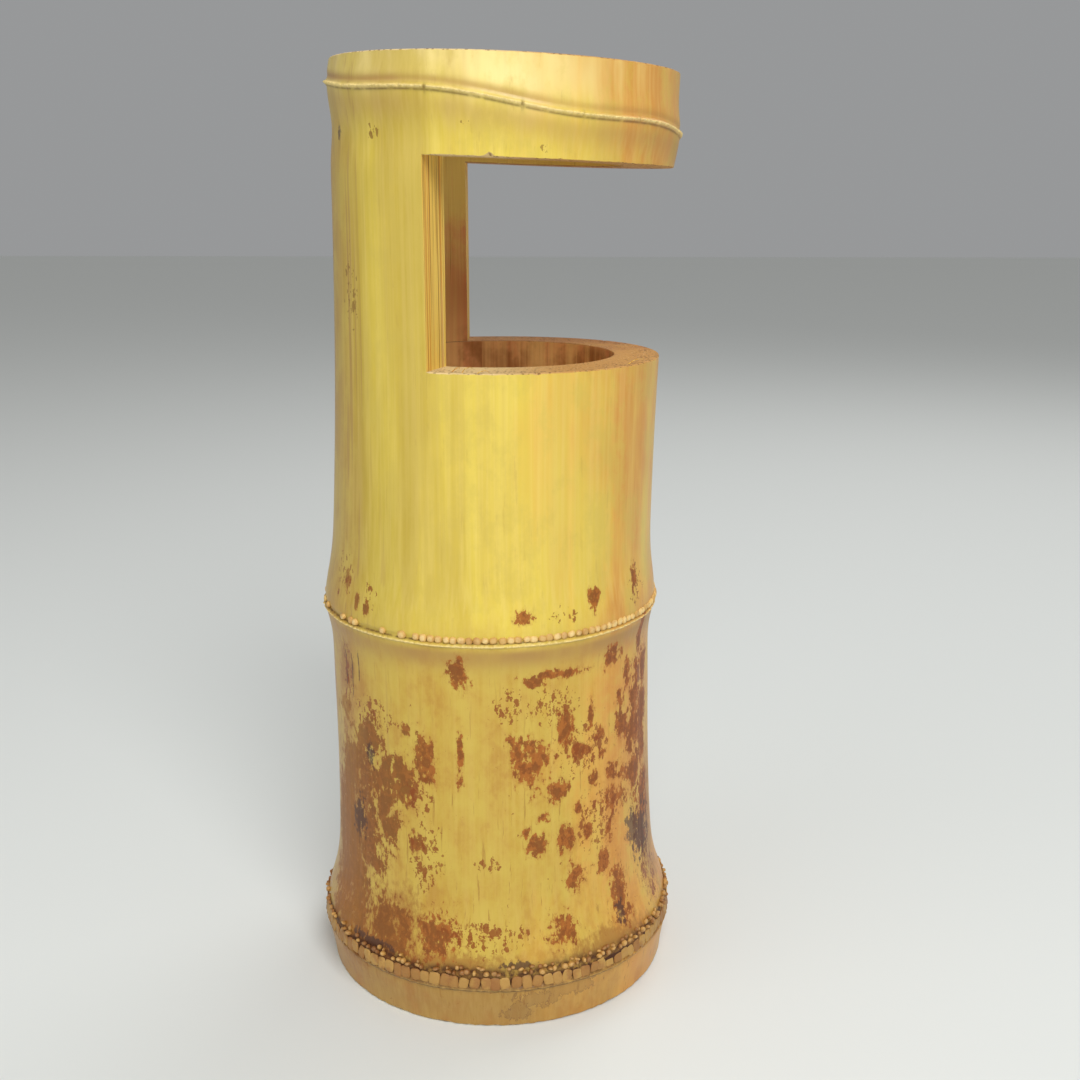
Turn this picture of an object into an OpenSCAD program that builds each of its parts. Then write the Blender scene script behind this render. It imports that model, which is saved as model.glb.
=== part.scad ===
/* [Lengths up the culm] */
// From the ground to the lowest node's scar
foot_stub = 16; // [15:0.5:22]
// From the lowest node's scar to the middle node's scar
lower_length = 125; // [90:1:160]
// From the middle node's scar to the window's sill
cup_height = 90; // [75:1:130]
// From the sill to the window's upper edge, on the culm's axis
window_height = 66; // [50:1:90]
// From the window's upper edge to the top node's scar, on the culm's axis
hood_height = 17; // [16:0.5:30]
// From the top node's scar to the sawn rim, on the culm's axis
rim_stub = 13.5; // [12:0.5:30]

/* [Culm diameters] */
// Diameter of the sawn end that the vase stands on
foot_d = 128; // [124:1:134]
// Smallest diameter between the lowest and the middle node
lower_waist_d = 119; // [114:1:122]
// Smallest diameter between the middle and the top node
upper_waist_d = 116; // [112:1:119]
// Diameter of the sawn rim
rim_d = 119; // [115:1:122]
// How far the lowest node stands proud of the culm
foot_node_swell = 4.4; // [2:0.2:6]
// How far the middle node stands proud of the culm
middle_node_swell = 2.4; // [1:0.2:4]
// How far the top node stands proud of the culm
top_node_swell = 1.4; // [0.6:0.2:2.4]
// Height of the sharp lip that the leaf sheath left at each node
scar_lip = 1.2; // [0.4:0.1:1.6]

/* [Culm hollow] */
// Bore of the foot and of the lowest internode
lower_bore_d = 86; // [76:1:92]
// Bore of the internode that holds the cup and the window
cup_bore_d = 83; // [80:1:90]
// Bore of the short stub above the top node
rim_bore_d = 86; // [78:1:94]
// Thickness of each natural partition at its middle
diaphragm_t = 5; // [3:0.5:7]
// Extra thickness of each partition where it meets the wall
diaphragm_root = 3; // [1:0.5:5]

/* [Natural lean] */
// How far the culm's axis at the middle node leans away from the window side
middle_shift = 1.8; // [-2:0.1:3]
// How far the culm's axis at the rim leans towards the window side
rim_shift = 5.2; // [1:0.1:7]

/* [Saw cuts] */
// Fall of the rim towards the window, in degrees
rim_fall = 2.3; // [0:0.1:3]
// Fall of the window's upper edge towards the front, in degrees
lintel_fall = 2.2; // [0:0.1:3]
// How far behind the culm's axis the window reaches
window_back = 15.5; // [4:0.1:20]
// Opening angle of the window's cheek on the left side, in degrees
left_splay = 17; // [0:1:25]
// Opening angle of the window's cheek on the right side, in degrees
right_splay = 2; // [0:1:25]

/* [Top node] */
// Rise of the top node from the window side to the back, in degrees
top_node_tilt = 7.6; // [4:0.2:9]
// Waver of the top node's scar, up and down
scar_waver = 0.9; // [0:0.1:1.2]

/* [Root buds] */
// Number of root buds round the middle node
middle_buds = 128; // [40:2:136]
// Radius of the buds on the middle node
middle_bud_r = 1.3; // [0.8:0.1:1.4]
// Number of root buds in each row round the lowest node
foot_buds = 92; // [40:2:100]
// Radius of the buds on the lowest node
foot_bud_r = 1.8; // [1:0.1:1.9]

/* [Hook hole] */
// Diameter of the hole for a wall hook, through the back of the culm
hook_hole_d = 12; // [8:0.5:16]
// Height of the hook hole's axis below the window's upper edge
hook_hole_drop = 22; // [18:1:36]

/* [Water liner] */
// How much lower the liner is than the window that it passes through upright
window_clearance = 5; // [2:0.5:12]
// Gap between the liner and the cup's bore
liner_gap = 3.2; // [2.6:0.1:6]
// Gap between the liner and the cup's floor
seat_gap = 0.2; // [0.1:0.1:0.4]
// Thickness of the liner's copper sheet
sheet_t = 0.8; // [0.6:0.1:1.2]
// Radius of the wire inside the liner's rolled edge
wire_r = 1.2; // [0.8:0.1:1.6]
// Height of the flange that holds the liner's base
flange_h = 5; // [3:0.5:8]

/* [Hidden] */

// Reach of a cutting block, past every side of the culm
far = 400;
// Directions round the culm that the skin is built on
skin_n = 72;
bore_fn = 96;
ring_step = 360 / skin_n;

foot_node_z = foot_stub;
middle_node_z = foot_node_z + lower_length;
sill_z = middle_node_z + cup_height;
lintel_z = sill_z + window_height;
top_node_z = lintel_z + hood_height;
rim_z = top_node_z + rim_stub;

// Each node's band runs from below its scar to above it
band_below = 7;
band_above = 12;
// The top node's band is narrower: the rim is sawn close above it
top_band_below = 6;
top_band_above = 5;

// Each partition lies a little above its node's scar
diaphragm_rise = 1;

// The origin lies under the lowest node, so the lower axis passes over it there
lower_lean = atan(-middle_shift / (middle_node_z - foot_node_z));
upper_lean = atan((rim_shift + middle_shift) / (rim_z - middle_node_z));

lower_waist_z = 0.72 * middle_node_z;
upper_waist_z = middle_node_z + 0.45 * (top_node_z - middle_node_z);

liner_h = window_height - window_clearance;
liner_r = cup_bore_d / 2 - liner_gap - 2 * wire_r - sheet_t;
curl_r = wire_r + sheet_t;

// Offset of the culm's axis towards the window, at height z
function shift(z) = (z - middle_node_z) * tan(z < middle_node_z ? lower_lean : upper_lean) - middle_shift;

function ease(t) = t * t * (3 - 2 * t);

// Radius of the culm between its nodes, at height z
function waist_r(z) =
    z < lower_waist_z
        ? foot_d / 2 + (lower_waist_d - foot_d) / 2 * ease(pow(max(z, 0) / lower_waist_z, 0.6))
    : z < upper_waist_z
        ? lower_waist_d / 2 + (upper_waist_d - lower_waist_d) / 2
            * ease((z - lower_waist_z) / (upper_waist_z - lower_waist_z))
    : upper_waist_d / 2 + (rim_d - upper_waist_d) / 2
            * ease(min(1, (z - upper_waist_z) / (rim_z - upper_waist_z)));

// A bump of height 1 that fades over the lengths below and above it
function bump(dz, below, above) = exp(-pow(dz / (dz < 0 ? below : above), 2));

// Height of the top node's scar in the direction a
function top_scar_z(a) = top_node_z + rim_d / 2 * sin(a) * tan(top_node_tilt)
    + scar_waver * cos(5 * (a - 165));

// Radius of the culm's skin at height z in the direction a
function skin_r(z, a) = waist_r(z)
    + foot_node_swell * bump(z - foot_node_z - 3, 14, 15)
    + scar_lip * bump(z - foot_node_z, 0.9, 1.6)
    + middle_node_swell * bump(z - middle_node_z - 2, 9, 14)
    + scar_lip * bump(z - middle_node_z, 0.9, 1.6)
    + top_node_swell * bump(z - top_scar_z(a), 22, 7)
    + scar_lip * bump(z - top_scar_z(a), 1.6, 0.9);

function skin_point(z, a) =
    let (r = skin_r(z, a)) [r * cos(a), r * sin(a) - shift(z), z];

function steps(from, to, count) = [for (i = [0:count]) from + (to - from) * i / count];

// Levels that a stretch of the culm between two heights is built on, with one beyond each end
function between(levels, from, to) = [for (i = [1:len(levels) - 2])
    if (levels[i + 1] > from && levels[i - 1] < to) levels[i]];

// Solid culm between the first and the last level; tilt raises each level towards the back
module skin(levels, tilt = 0) {
    rings = len(levels);
    points = [for (z = levels) for (i = [0:skin_n - 1])
        let (a = i * ring_step) skin_point(z + rim_d / 2 * sin(a) * tan(tilt), a)];
    low = [0, -shift(levels[0]), levels[0]];
    high = [0, -shift(levels[rings - 1]), levels[rings - 1]];
    sides = [for (j = [0:rings - 2]) for (i = [0:skin_n - 1])
        let (k = (i + 1) % skin_n, b = j * skin_n, t = b + skin_n)
        each [[b + i, t + i, t + k], [b + i, t + k, b + k]]];
    last = (rings - 1) * skin_n;
    ends = [for (i = [0:skin_n - 1]) let (k = (i + 1) % skin_n)
        each [[i, k, rings * skin_n], [last + k, last + i, rings * skin_n + 1]]];
    polyhedron(concat(points, [low, high]), concat(sides, ends));
}

// Everything above, or below, a saw cut that rises towards the back by tilt degrees
module above(z, tilt = 0)
    translate([0, 0, z]) rotate([tilt, 0, 0]) translate([-far, -far, 0]) cube([2 * far, 2 * far, far]);

module below(z, tilt = 0)
    translate([0, 0, z]) rotate([tilt, 0, 0]) translate([-far, -far, -far]) cube([2 * far, 2 * far, far]);

// Moves a shape drawn on the Z axis onto the culm's leaning axis at height z
module on_axis(z)
    translate([0, -shift(z), z])
        rotate([z < middle_node_z ? lower_lean : upper_lean, 0, 0])
            children();

module bore(z, d, reach)
    on_axis(z) translate([0, 0, -reach / 2]) cylinder(h = reach, d = d, $fn = bore_fn);

// Section of a natural partition: thicker where it grows out of the wall
module diaphragm_section(r) {
    root = min(12, r / 3);
    polygon([[0, -diaphragm_t / 2], [r - root, -diaphragm_t / 2],
        [r, -diaphragm_t / 2 - diaphragm_root], [r, diaphragm_t / 2], [0, diaphragm_t / 2]]);
}

// Levels that the skin is built on: close together where it swells, wide apart elsewhere, and
// none at the edge of a node's band
culm_levels = concat(
    [-20, -10, -3, 6],
    steps(foot_node_z - 5, foot_node_z + 6, 11),
    steps(foot_node_z + 8, middle_node_z - 9, 16),
    steps(middle_node_z - 4, middle_node_z + 4, 9),
    steps(middle_node_z + 6, lintel_z + 20, 20));
top_offsets = concat(steps(-44, -8, 4), steps(-3, 2, 8), steps(3.5, 39.5, 4));

// The bark of the culm between two heights; above the top node its levels follow the scar
module bark(from, to) skin(between(culm_levels, from, to));
module top_bark(from, to) skin([for (dz = between(top_offsets, from, to)) top_node_z + dz], top_node_tilt);

module foot_ring() color("burlywood") difference() {
    bark(0, foot_node_z - band_below);
    below(0);
    above(foot_node_z - band_below);
    bore(0, lower_bore_d, 4 * foot_node_z);
}

module foot_node_band() difference() {
    bark(foot_node_z - band_below, foot_node_z + band_above);
    below(foot_node_z - band_below);
    above(foot_node_z + band_above);
    bore(foot_node_z, lower_bore_d, 4 * foot_node_z);
}

module foot_node() color("peru") foot_node_band();

module foot_diaphragm() color("tan")
    on_axis(foot_node_z) translate([0, 0, diaphragm_rise])
        rotate_extrude($fn = bore_fn) diaphragm_section(lower_bore_d / 2);

// One row of buds with their centres on the skin, every second one a little smaller
module bud_row(z, count, r, phase = 0)
    for (i = [0:count - 1]) {
        a = (i + phase) * 360 / count;
        translate(skin_point(z + 0.3 * r * cos(7 * i * 360 / count), a))
            sphere(r = r * (0.86 + 0.14 * cos(180 * i)), $fn = 24);
    }

foot_row_gap = 2.1 * foot_bud_r;
foot_row_z = foot_node_z + 1.6 + foot_bud_r;

module foot_root_buds() color("sienna") difference() {
    union() {
        bud_row(foot_row_z, foot_buds, foot_bud_r);
        bud_row(foot_row_z + foot_row_gap, foot_buds, 0.7 * foot_bud_r, 0.5);
    }
    foot_node_band();
}

module lower_internode() color("goldenrod") difference() {
    bark(foot_node_z + band_above, middle_node_z - band_below);
    below(foot_node_z + band_above);
    above(middle_node_z - band_below);
    bore(middle_node_z / 2, lower_bore_d, 2 * middle_node_z);
}

module middle_node_band() difference() {
    bark(middle_node_z - band_below, middle_node_z + band_above);
    below(middle_node_z - band_below);
    above(middle_node_z + band_above);
    bore(middle_node_z, cup_bore_d, middle_node_z);
}

module middle_node() color("peru") middle_node_band();

module middle_root_buds() color("sienna") difference() {
    bud_row(middle_node_z + 1.2 + middle_bud_r, middle_buds, middle_bud_r);
    middle_node_band();
}

module middle_diaphragm() color("tan")
    on_axis(middle_node_z) translate([0, 0, diaphragm_rise])
        rotate_extrude($fn = bore_fn) diaphragm_section(cup_bore_d / 2);

module cup_wall() color("khaki") difference() {
    bark(middle_node_z + band_above, sill_z);
    below(middle_node_z + band_above);
    above(sill_z);
    bore(sill_z, cup_bore_d, 2 * rim_z);
}

// Plan of the window: a chord behind the axis, with its cheeks opening outwards
module window_plan() {
    back = window_back - shift((sill_z + lintel_z) / 2);
    half = sqrt(pow(cup_bore_d / 2, 2) - pow(window_back, 2));
    polygon([[-half, back], [-far, back + (far - half) * tan(left_splay)], [-far, -far],
        [far, -far], [far, back + (far - half) * tan(right_splay)], [half, back]]);
}

module back_wall() color("khaki") difference() {
    bark(sill_z, lintel_z + 10);
    below(sill_z);
    above(lintel_z, lintel_fall);
    bore(sill_z, cup_bore_d, 2 * rim_z);
    translate([0, 0, sill_z - 1]) linear_extrude(lintel_z - sill_z + far / 8) window_plan();
    hook_hole();
}

module hook_hole()
    translate([0, 0, lintel_z - hook_hole_drop]) rotate([-90, 0, 0])
        cylinder(h = far / 4, d = hook_hole_d, $fn = 48);

module hood() color("khaki") difference() {
    top_bark(-40, -top_band_below);
    below(lintel_z, lintel_fall);
    above(top_node_z - top_band_below, top_node_tilt);
    bore(sill_z, cup_bore_d, 2 * rim_z);
}

module top_node() color("peru") difference() {
    top_bark(-top_band_below, top_band_above);
    below(top_node_z - top_band_below, top_node_tilt);
    above(top_node_z + top_band_above, top_node_tilt);
    bore(sill_z, cup_bore_d, 2 * rim_z);
}

module top_diaphragm() color("tan") intersection() {
    bore(sill_z, cup_bore_d, 2 * rim_z);
    translate([0, -shift(top_node_z), top_node_z]) rotate([top_node_tilt, 0, 0])
        rotate_extrude($fn = bore_fn) diaphragm_section(cup_bore_d / 2 + 3);
}

module rim_ring() color("burlywood") difference() {
    top_bark(top_band_above, 40);
    below(top_node_z + top_band_above, top_node_tilt);
    above(rim_z, rim_fall);
    bore(rim_z, rim_bore_d, rim_z);
}

// The liner stands on the cup's floor, square to the culm's leaning axis
module in_cup()
    on_axis(middle_node_z) translate([0, 0, diaphragm_rise + diaphragm_t / 2 + seat_gap]) children();

// Copper tube whose upper edge is rolled outwards round a wire
module liner_wall() color("chocolate") in_cup() rotate_extrude($fn = bore_fn) {
    curl_z = liner_h - curl_r;
    translate([liner_r - sheet_t, sheet_t]) square([sheet_t, curl_z - sheet_t]);
    translate([liner_r + wire_r, curl_z]) difference() {
        circle(r = curl_r, $fn = 32);
        circle(r = wire_r, $fn = 32);
        translate([0, -2 * curl_r]) square([2 * curl_r, 2 * curl_r]);
        translate([-wire_r, -2 * curl_r]) square([2 * curl_r, 2 * curl_r]);
    }
}

module liner_rim_wire() color("orangered") in_cup() rotate_extrude($fn = bore_fn)
    translate([liner_r + wire_r, liner_h - curl_r]) circle(r = wire_r, $fn = 32);

// Copper disc with a flange turned up round the foot of the tube
module liner_base() color("chocolate") in_cup() rotate_extrude($fn = bore_fn)
    polygon([[0, 0], [liner_r + sheet_t, 0], [liner_r + sheet_t, flange_h],
        [liner_r, flange_h], [liner_r, sheet_t], [0, sheet_t]]);

foot_ring();
foot_node();
foot_root_buds();
foot_diaphragm();
lower_internode();
middle_node();
middle_root_buds();
middle_diaphragm();
cup_wall();
back_wall();
hood();
top_node();
top_diaphragm();
rim_ring();
liner_wall();
liner_rim_wire();
liner_base();
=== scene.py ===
"""Looks of a bamboo flower vase with a window sawn out of its upper internode.

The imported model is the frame. Each piece is built in metres in that frame, stands for the nodes that
it names and rides on their body. The shapes repeat the culm's driving sizes, in millimetres.
"""
import logging
import math
from collections.abc import Callable, Sequence
from dataclasses import dataclass, field
from enum import Enum

import bmesh
import bpy
import numpy as np
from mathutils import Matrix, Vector


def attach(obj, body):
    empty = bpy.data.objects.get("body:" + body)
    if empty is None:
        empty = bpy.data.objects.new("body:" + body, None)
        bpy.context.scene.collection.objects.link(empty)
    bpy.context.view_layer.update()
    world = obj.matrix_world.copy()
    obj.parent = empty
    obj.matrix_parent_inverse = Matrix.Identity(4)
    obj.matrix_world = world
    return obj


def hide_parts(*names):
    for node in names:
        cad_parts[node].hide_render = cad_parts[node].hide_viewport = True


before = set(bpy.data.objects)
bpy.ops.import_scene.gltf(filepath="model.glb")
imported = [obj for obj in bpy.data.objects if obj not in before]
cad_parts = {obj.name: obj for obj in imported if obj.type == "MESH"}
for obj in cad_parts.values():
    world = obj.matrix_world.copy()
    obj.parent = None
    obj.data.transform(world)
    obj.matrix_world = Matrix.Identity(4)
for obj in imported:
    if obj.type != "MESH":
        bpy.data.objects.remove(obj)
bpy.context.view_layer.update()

MM = 0.001
Array = np.ndarray
Socket = bpy.types.NodeSocket
Colour = tuple[float, float, float, float]
Point = tuple[float, float, float]
log = logging.getLogger("bamboo_vase")


def linear(red: float, green: float, blue: float) -> Colour:
    """Turns a colour as a paint chart gives it, 0 to 255, into a shader's linear colour."""
    def channel(value: float) -> float:
        """Undoes the display curve on one channel."""
        share = value / 255.0
        return share / 12.92 if share <= 0.04045 else ((share + 0.055) / 1.055) ** 2.4
    return (channel(red), channel(green), channel(blue), 1.0)


def bump(distance: Array, below: float, above: float) -> Array:
    """A bump of height 1 that fades over the lengths below and above it."""
    return np.exp(-((distance / np.where(distance < 0.0, below, above)) ** 2))


def ease(share: Array) -> Array:
    """Smooth step from 0 to 1."""
    return share * share * (3.0 - 2.0 * share)


def wrapped(angle: Array) -> Array:
    """Brings an angle in radians between -pi and pi."""
    return (angle + np.pi) % (2.0 * np.pi) - np.pi


@dataclass(frozen=True)
class Ripple:
    """Smooth irregularity round the culm, from a few seeded waves that close on themselves.

    Each wave runs a whole number of times round the culm, between the two numbers in turns, and climbs
    with the height by up to the given radians per millimetre.
    """

    seed: int
    turns: tuple[int, int]
    climb: float = 0.0
    waves: int = 7

    def __call__(self, angle: Array, height: Array) -> Array:
        """Value of the ripple.

        Args:
            angle: Directions, in radians.
            height: Heights, in millimetres.

        Returns:
            About -1 to 1 at each angle and height.
        """
        draw = np.random.default_rng(self.seed)
        total = np.zeros(np.broadcast(angle, height).shape)
        for _ in range(self.waves):
            turn = draw.integers(self.turns[0], self.turns[1] + 1)
            slope = draw.uniform(-self.climb, self.climb)
            phase = draw.uniform(0.0, 2.0 * np.pi)
            total = total + np.cos(turn * angle + slope * height + phase)
        return total / math.sqrt(self.waves)


@dataclass(frozen=True)
class CulmForm:
    """Shape of the whole culm, in millimetres, as a function of height and direction.

    The angle runs anticlockwise from +X, seen from above. The window is at -90 degrees.
    """

    foot_radius: float = 64.0
    lower_waist_radius: float = 59.5
    upper_waist_radius: float = 58.0
    rim_radius: float = 59.5
    foot_node_z: float = 16.0
    middle_node_z: float = 141.0
    sill_z: float = 231.0
    lintel_z: float = 297.0
    top_node_z: float = 314.0
    rim_z: float = 327.5
    rim_fall: float = 2.3
    lintel_fall: float = 2.2
    top_node_tilt: float = 7.6
    scar_waver: float = 0.9
    middle_shift: float = 1.8
    rim_shift: float = 5.2
    foot_swell: float = 4.4
    middle_swell: float = 2.4
    top_swell: float = 1.4
    scar_lip: float = 1.2
    lower_bore: float = 43.0
    cup_bore: float = 41.5
    rim_bore: float = 43.0
    band_below: float = 7.0
    band_above: float = 12.0
    top_band_below: float = 6.0
    top_band_above: float = 5.0
    window_back: float = 15.5
    window_blend: float = 0.02
    sill_radius: float = 57.5
    left_splay: float = 17.0
    right_splay: float = 2.0
    scar_nicks: tuple[tuple[float, float], ...] = ((160.0, 0.9), (188.6, 1.0), (207.0, 0.5), (228.0, 0.4),
                                                   (20.0, 0.9), (64.0, 0.6), (300.0, 0.8))

    def shift(self, z: Array) -> Array:
        """Offset of the culm's axis towards the window at a height."""
        lower = -self.middle_shift / (self.middle_node_z - self.foot_node_z)
        upper = (self.rim_shift + self.middle_shift) / (self.rim_z - self.middle_node_z)
        slope = np.where(z < self.middle_node_z, lower, upper)
        return (z - self.middle_node_z) * slope - self.middle_shift

    def waist(self, z: Array) -> Array:
        """Radius of the culm between its nodes.

        Args:
            z: Heights.

        Returns:
            Radii that ease from the foot to the lower waist, the upper waist and the rim.
        """
        low_z = 0.72 * self.middle_node_z
        high_z = self.middle_node_z + 0.45 * (self.top_node_z - self.middle_node_z)
        low = self.foot_radius + (self.lower_waist_radius - self.foot_radius) * ease(
            (np.clip(z, 0.0, low_z) / low_z) ** 0.6)
        middle = (self.upper_waist_radius - self.lower_waist_radius) * ease(
            np.clip((z - low_z) / (high_z - low_z), 0.0, 1.0))
        high = (self.rim_radius - self.upper_waist_radius) * ease(
            np.clip((z - high_z) / (self.rim_z - high_z), 0.0, 1.0))
        return low + middle + high

    def top_scar(self, angle: Array) -> Array:
        """Height of the top node's leaf scar in a direction."""
        rise = self.rim_radius * math.tan(math.radians(self.top_node_tilt))
        return (self.top_node_z + rise * np.sin(angle)
                + self.scar_waver * np.cos(5.0 * (angle - math.radians(165.0))))

    def lip(self, angle: Array, seed: int, worn: float) -> Array:
        """Share of the scar's lip that is left in a direction: the dry edge is broken unevenly."""
        coarse = Ripple(seed, (5, 23))(angle, 0.0)
        fine = Ripple(seed + 1, (60, 210))(angle, 0.0)
        return np.clip(1.0 - worn * (0.5 + 0.33 * coarse + 0.3 * fine), 0.1, 1.0)

    def nicks(self, angle: Array) -> Array:
        """Depth share of the splits across the top node's scar."""
        cut = np.zeros(np.shape(angle))
        for degrees, depth in self.scar_nicks:
            cut = cut + depth * np.exp(-(wrapped(angle - math.radians(degrees)) / 0.006) ** 2)
        return np.clip(cut, 0.0, 1.0)

    def bud_line(self, angle: Array) -> Array:
        """Height above the lowest scar of the line of painted shade that the small root buds stand in."""
        return 6.4 + 0.5 * Ripple(47, (4, 30))(angle, 0.0)

    def radius(self, z: Array, angle: Array) -> Array:
        """Radius of the skin, with its natural relief.

        Args:
            z: Heights.
            angle: Directions.

        Returns:
            The radius at each height and direction.
        """
        low = z - self.foot_node_z
        middle = z - self.middle_node_z
        top = z - self.top_scar(angle)
        swell = (self.foot_swell * bump(low - 3.0, 14.0, 15.0)
                 + self.middle_swell * bump(middle - 2.0, 9.0, 14.0)
                 + self.top_swell * bump(top, 22.0, 7.0))
        top_lip = self.lip(angle, 31, 0.55) * (1.0 - 0.8 * self.nicks(angle))
        lips = self.scar_lip * (0.75 * self.lip(angle, 11, 0.6) * bump(low, 0.5, 1.3)
                                + 0.85 * self.lip(angle, 21, 0.7) * bump(middle, 0.45, 0.8)
                                + 1.1 * top_lip * bump(top, 0.95, 0.35))
        groove = (0.45 * bump(middle - 1.6, 0.6, 0.8) + 0.28 * bump(top - 1.7, 0.7, 1.2)
                  + 0.5 * bump(low - 1.9, 0.7, 1.0))
        uneven = 0.22 * Ripple(3, (1, 5), 0.012)(angle, z) + 0.03 * Ripple(5, (18, 60), 0.004)(angle, z)
        pinch = 1.3 * bump(top + 14.0, 9.0, 9.0)
        return self.waist(z) + swell + lips - groove - pinch - 0.25 + uneven

    def place(self, z: Array, angle: Array, radius: Array) -> Array:
        """Points in millimetres at a height, direction and distance from the leaning axis."""
        z, angle, radius = np.broadcast_arrays(z, angle, radius)
        return np.stack([radius * np.cos(angle), radius * np.sin(angle) - self.shift(z), z], axis=-1)

    def skin(self, z: Array, angle: Array) -> Array:
        """Points of the bark."""
        return self.place(z, angle, self.radius(z, angle))

    def skin_normal(self, z: Array, angle: Array) -> Array:
        """Outward normals of the bark, the same for every piece that shares an edge."""
        turn, climb = 0.0008, 0.05
        round_it = self.skin(z, angle + turn) - self.skin(z, angle - turn)
        up_it = self.skin(z + climb, angle) - self.skin(z - climb, angle)
        normal = np.cross(round_it, up_it)
        return normal / np.linalg.norm(normal, axis=-1, keepdims=True)

    def marks(self, z: Array, angle: Array) -> Array:
        """Masks for the bark's finish.

        Args:
            z: Heights.
            angle: Directions.

        Returns:
            Cream scar, painted shade in the crevices beside the scars and round the buds' feet, and a dull
            band of painted shade beside a node, along the last axis.
        """
        low = z - self.foot_node_z
        middle = z - self.middle_node_z
        top = z - self.top_scar(angle)
        wide = 0.75 + 0.5 * np.clip(np.sin(angle), 0.0, 1.0) + 0.25 * Ripple(41, (9, 40))(angle, 0.0)
        scar = np.maximum.reduce([
            bump(top + 0.15, 0.75, 0.5 * np.clip(wide, 0.5, 2.0)) ** 1.5,
            1.2 * bump(middle + 0.1, 0.5, 0.45) ** 2,
            0.2 * bump(low, 0.5, 0.4) ** 2])
        scar = scar * (1.0 - self.nicks(angle))
        # Painted shade just over the middle scar, under the top and lowest scars, round the feet of the root
        # buds and pads, and in the splits across the top scar.
        crevice_shade = np.maximum.reduce([
            0.9 * bump(middle - 1.15, 0.35, 0.4),
            0.6 * bump(top + 1.15, 0.35, 0.25),
            0.95 * bump(low - self.bud_line(angle), 1.9, 1.5 + 0.9 * np.clip(-np.cos(angle - 1.1), 0.0, 1.0)),
            1.3 * bump(low - 3.0, 2.2, 2.6) ** 0.7,
            0.8 * bump(low + 0.3, 0.3, 0.3),
            self.nicks(angle) * bump(top + 0.4, 1.6, 1.2)])
        # Painted shade: a dull band under the middle node, under the top scar and in the groove above it,
        # stronger towards +Y.
        dull_and_shade = np.maximum.reduce([
            bump(middle + 3.4, 5.5, 2.2), 0.5 * bump(top + 5.0, 5.0, 3.0),
            bump(top - 1.8, 1.0, 1.5) * (0.4 + 0.6 * np.clip(np.sin(angle) + 0.5, 0.0, 1.0))])
        return np.stack(np.broadcast_arrays(scar, np.clip(crevice_shade, 0.0, 1.5), dull_and_shade), axis=-1)

    def cheek_angle(self, z: Array, radius: Array, left: bool) -> Array:
        """Direction, from the axis, of the window's sawn cheek.

        Args:
            z: Heights.
            radius: Distances from the axis.
            left: Whether it is the cheek on the photo's near side.

        Returns:
            The direction at each height and radius.
        """
        middle = 0.5 * (self.sill_z + self.lintel_z)
        back = self.window_back - float(self.shift(np.float64(middle)))
        half = math.sqrt(self.cup_bore ** 2 - self.window_back ** 2)
        splay = math.tan(math.radians(self.left_splay if left else self.right_splay))
        depth = back + self.shift(z)
        # On the cheek's line x = half + t and y = depth + splay * t, measured from the axis
        a = 1.0 + splay ** 2
        b = half + splay * depth
        c = half ** 2 + depth ** 2 - radius ** 2
        t = (-b + np.sqrt(np.maximum(b * b - a * c, 0.0))) / a
        x = np.where(t >= 0.0, half + t, np.sqrt(np.maximum(radius ** 2 - depth ** 2, 0.0)))
        y = np.where(t >= 0.0, depth + splay * t, depth)
        return np.arctan2(y, -x if left else x)

    def in_window(self, angle: Array) -> Array:
        """1 where the window is open, 0 behind it, with a short blend between."""
        level, reach = np.float64(self.sill_z), np.float64(self.sill_radius)
        right, left = (float(self.cheek_angle(level, reach, side)) for side in (False, True))
        centre, half = (left + right) / 2.0, (left - right) / 2.0
        return ease(np.clip((np.abs(wrapped(angle - centre)) - half) / self.window_blend, 0.0, 1.0))


FORM = CulmForm()


class Side(Enum):
    """The kinds of surface on a piece of the culm, in the order of its material slots."""

    BARK = 0
    SAWN_END = 1
    INNER = 2
    SAWN_SIDE = 3


class Edge(Enum):
    """How a piece of the culm ends."""

    JOINED = "joined"
    SAWN = "sawn"
    WINDOW = "window"


@dataclass(frozen=True)
class Cut:
    """Plane across the culm at a height on its axis, rising towards the back by some degrees."""

    height: float
    rise: float = 0.0
    edge: Edge = Edge.JOINED
    bevel: float = 0.3
    chips: tuple[Point, ...] = ()

    def level(self, angle: Array, radius: Array | None = None) -> Array:
        """Height of the plane in a direction, at a radius or, without one, at the skin."""
        z = np.full(np.shape(angle), self.height)
        slope = math.tan(math.radians(self.rise))
        for _ in range(4):
            reach = FORM.radius(z, angle) if radius is None else radius
            z = self.height + (reach * np.sin(angle) - FORM.shift(z)) * slope
        return z

    def eased(self) -> float:
        """Size of the edge's small chamfer at the bore."""
        return 0.0 if self.edge is Edge.JOINED else 0.25

    def softened(self, angle: Array) -> Array:
        """Size of the worn edge in each direction."""
        if self.edge is Edge.JOINED:
            return np.zeros(np.shape(angle))
        worn = self.bevel * (1.0 + 0.25 * Ripple(71, (20, 120))(angle, self.height))
        chips = sum(depth * np.exp(-(wrapped(angle - math.radians(at)) / width) ** 2)
                    for at, width, depth in self.chips)
        worn = np.clip(worn, 0.1, None) + chips
        return worn * (FORM.in_window(angle) if self.edge is Edge.WINDOW else 1.0)


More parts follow.
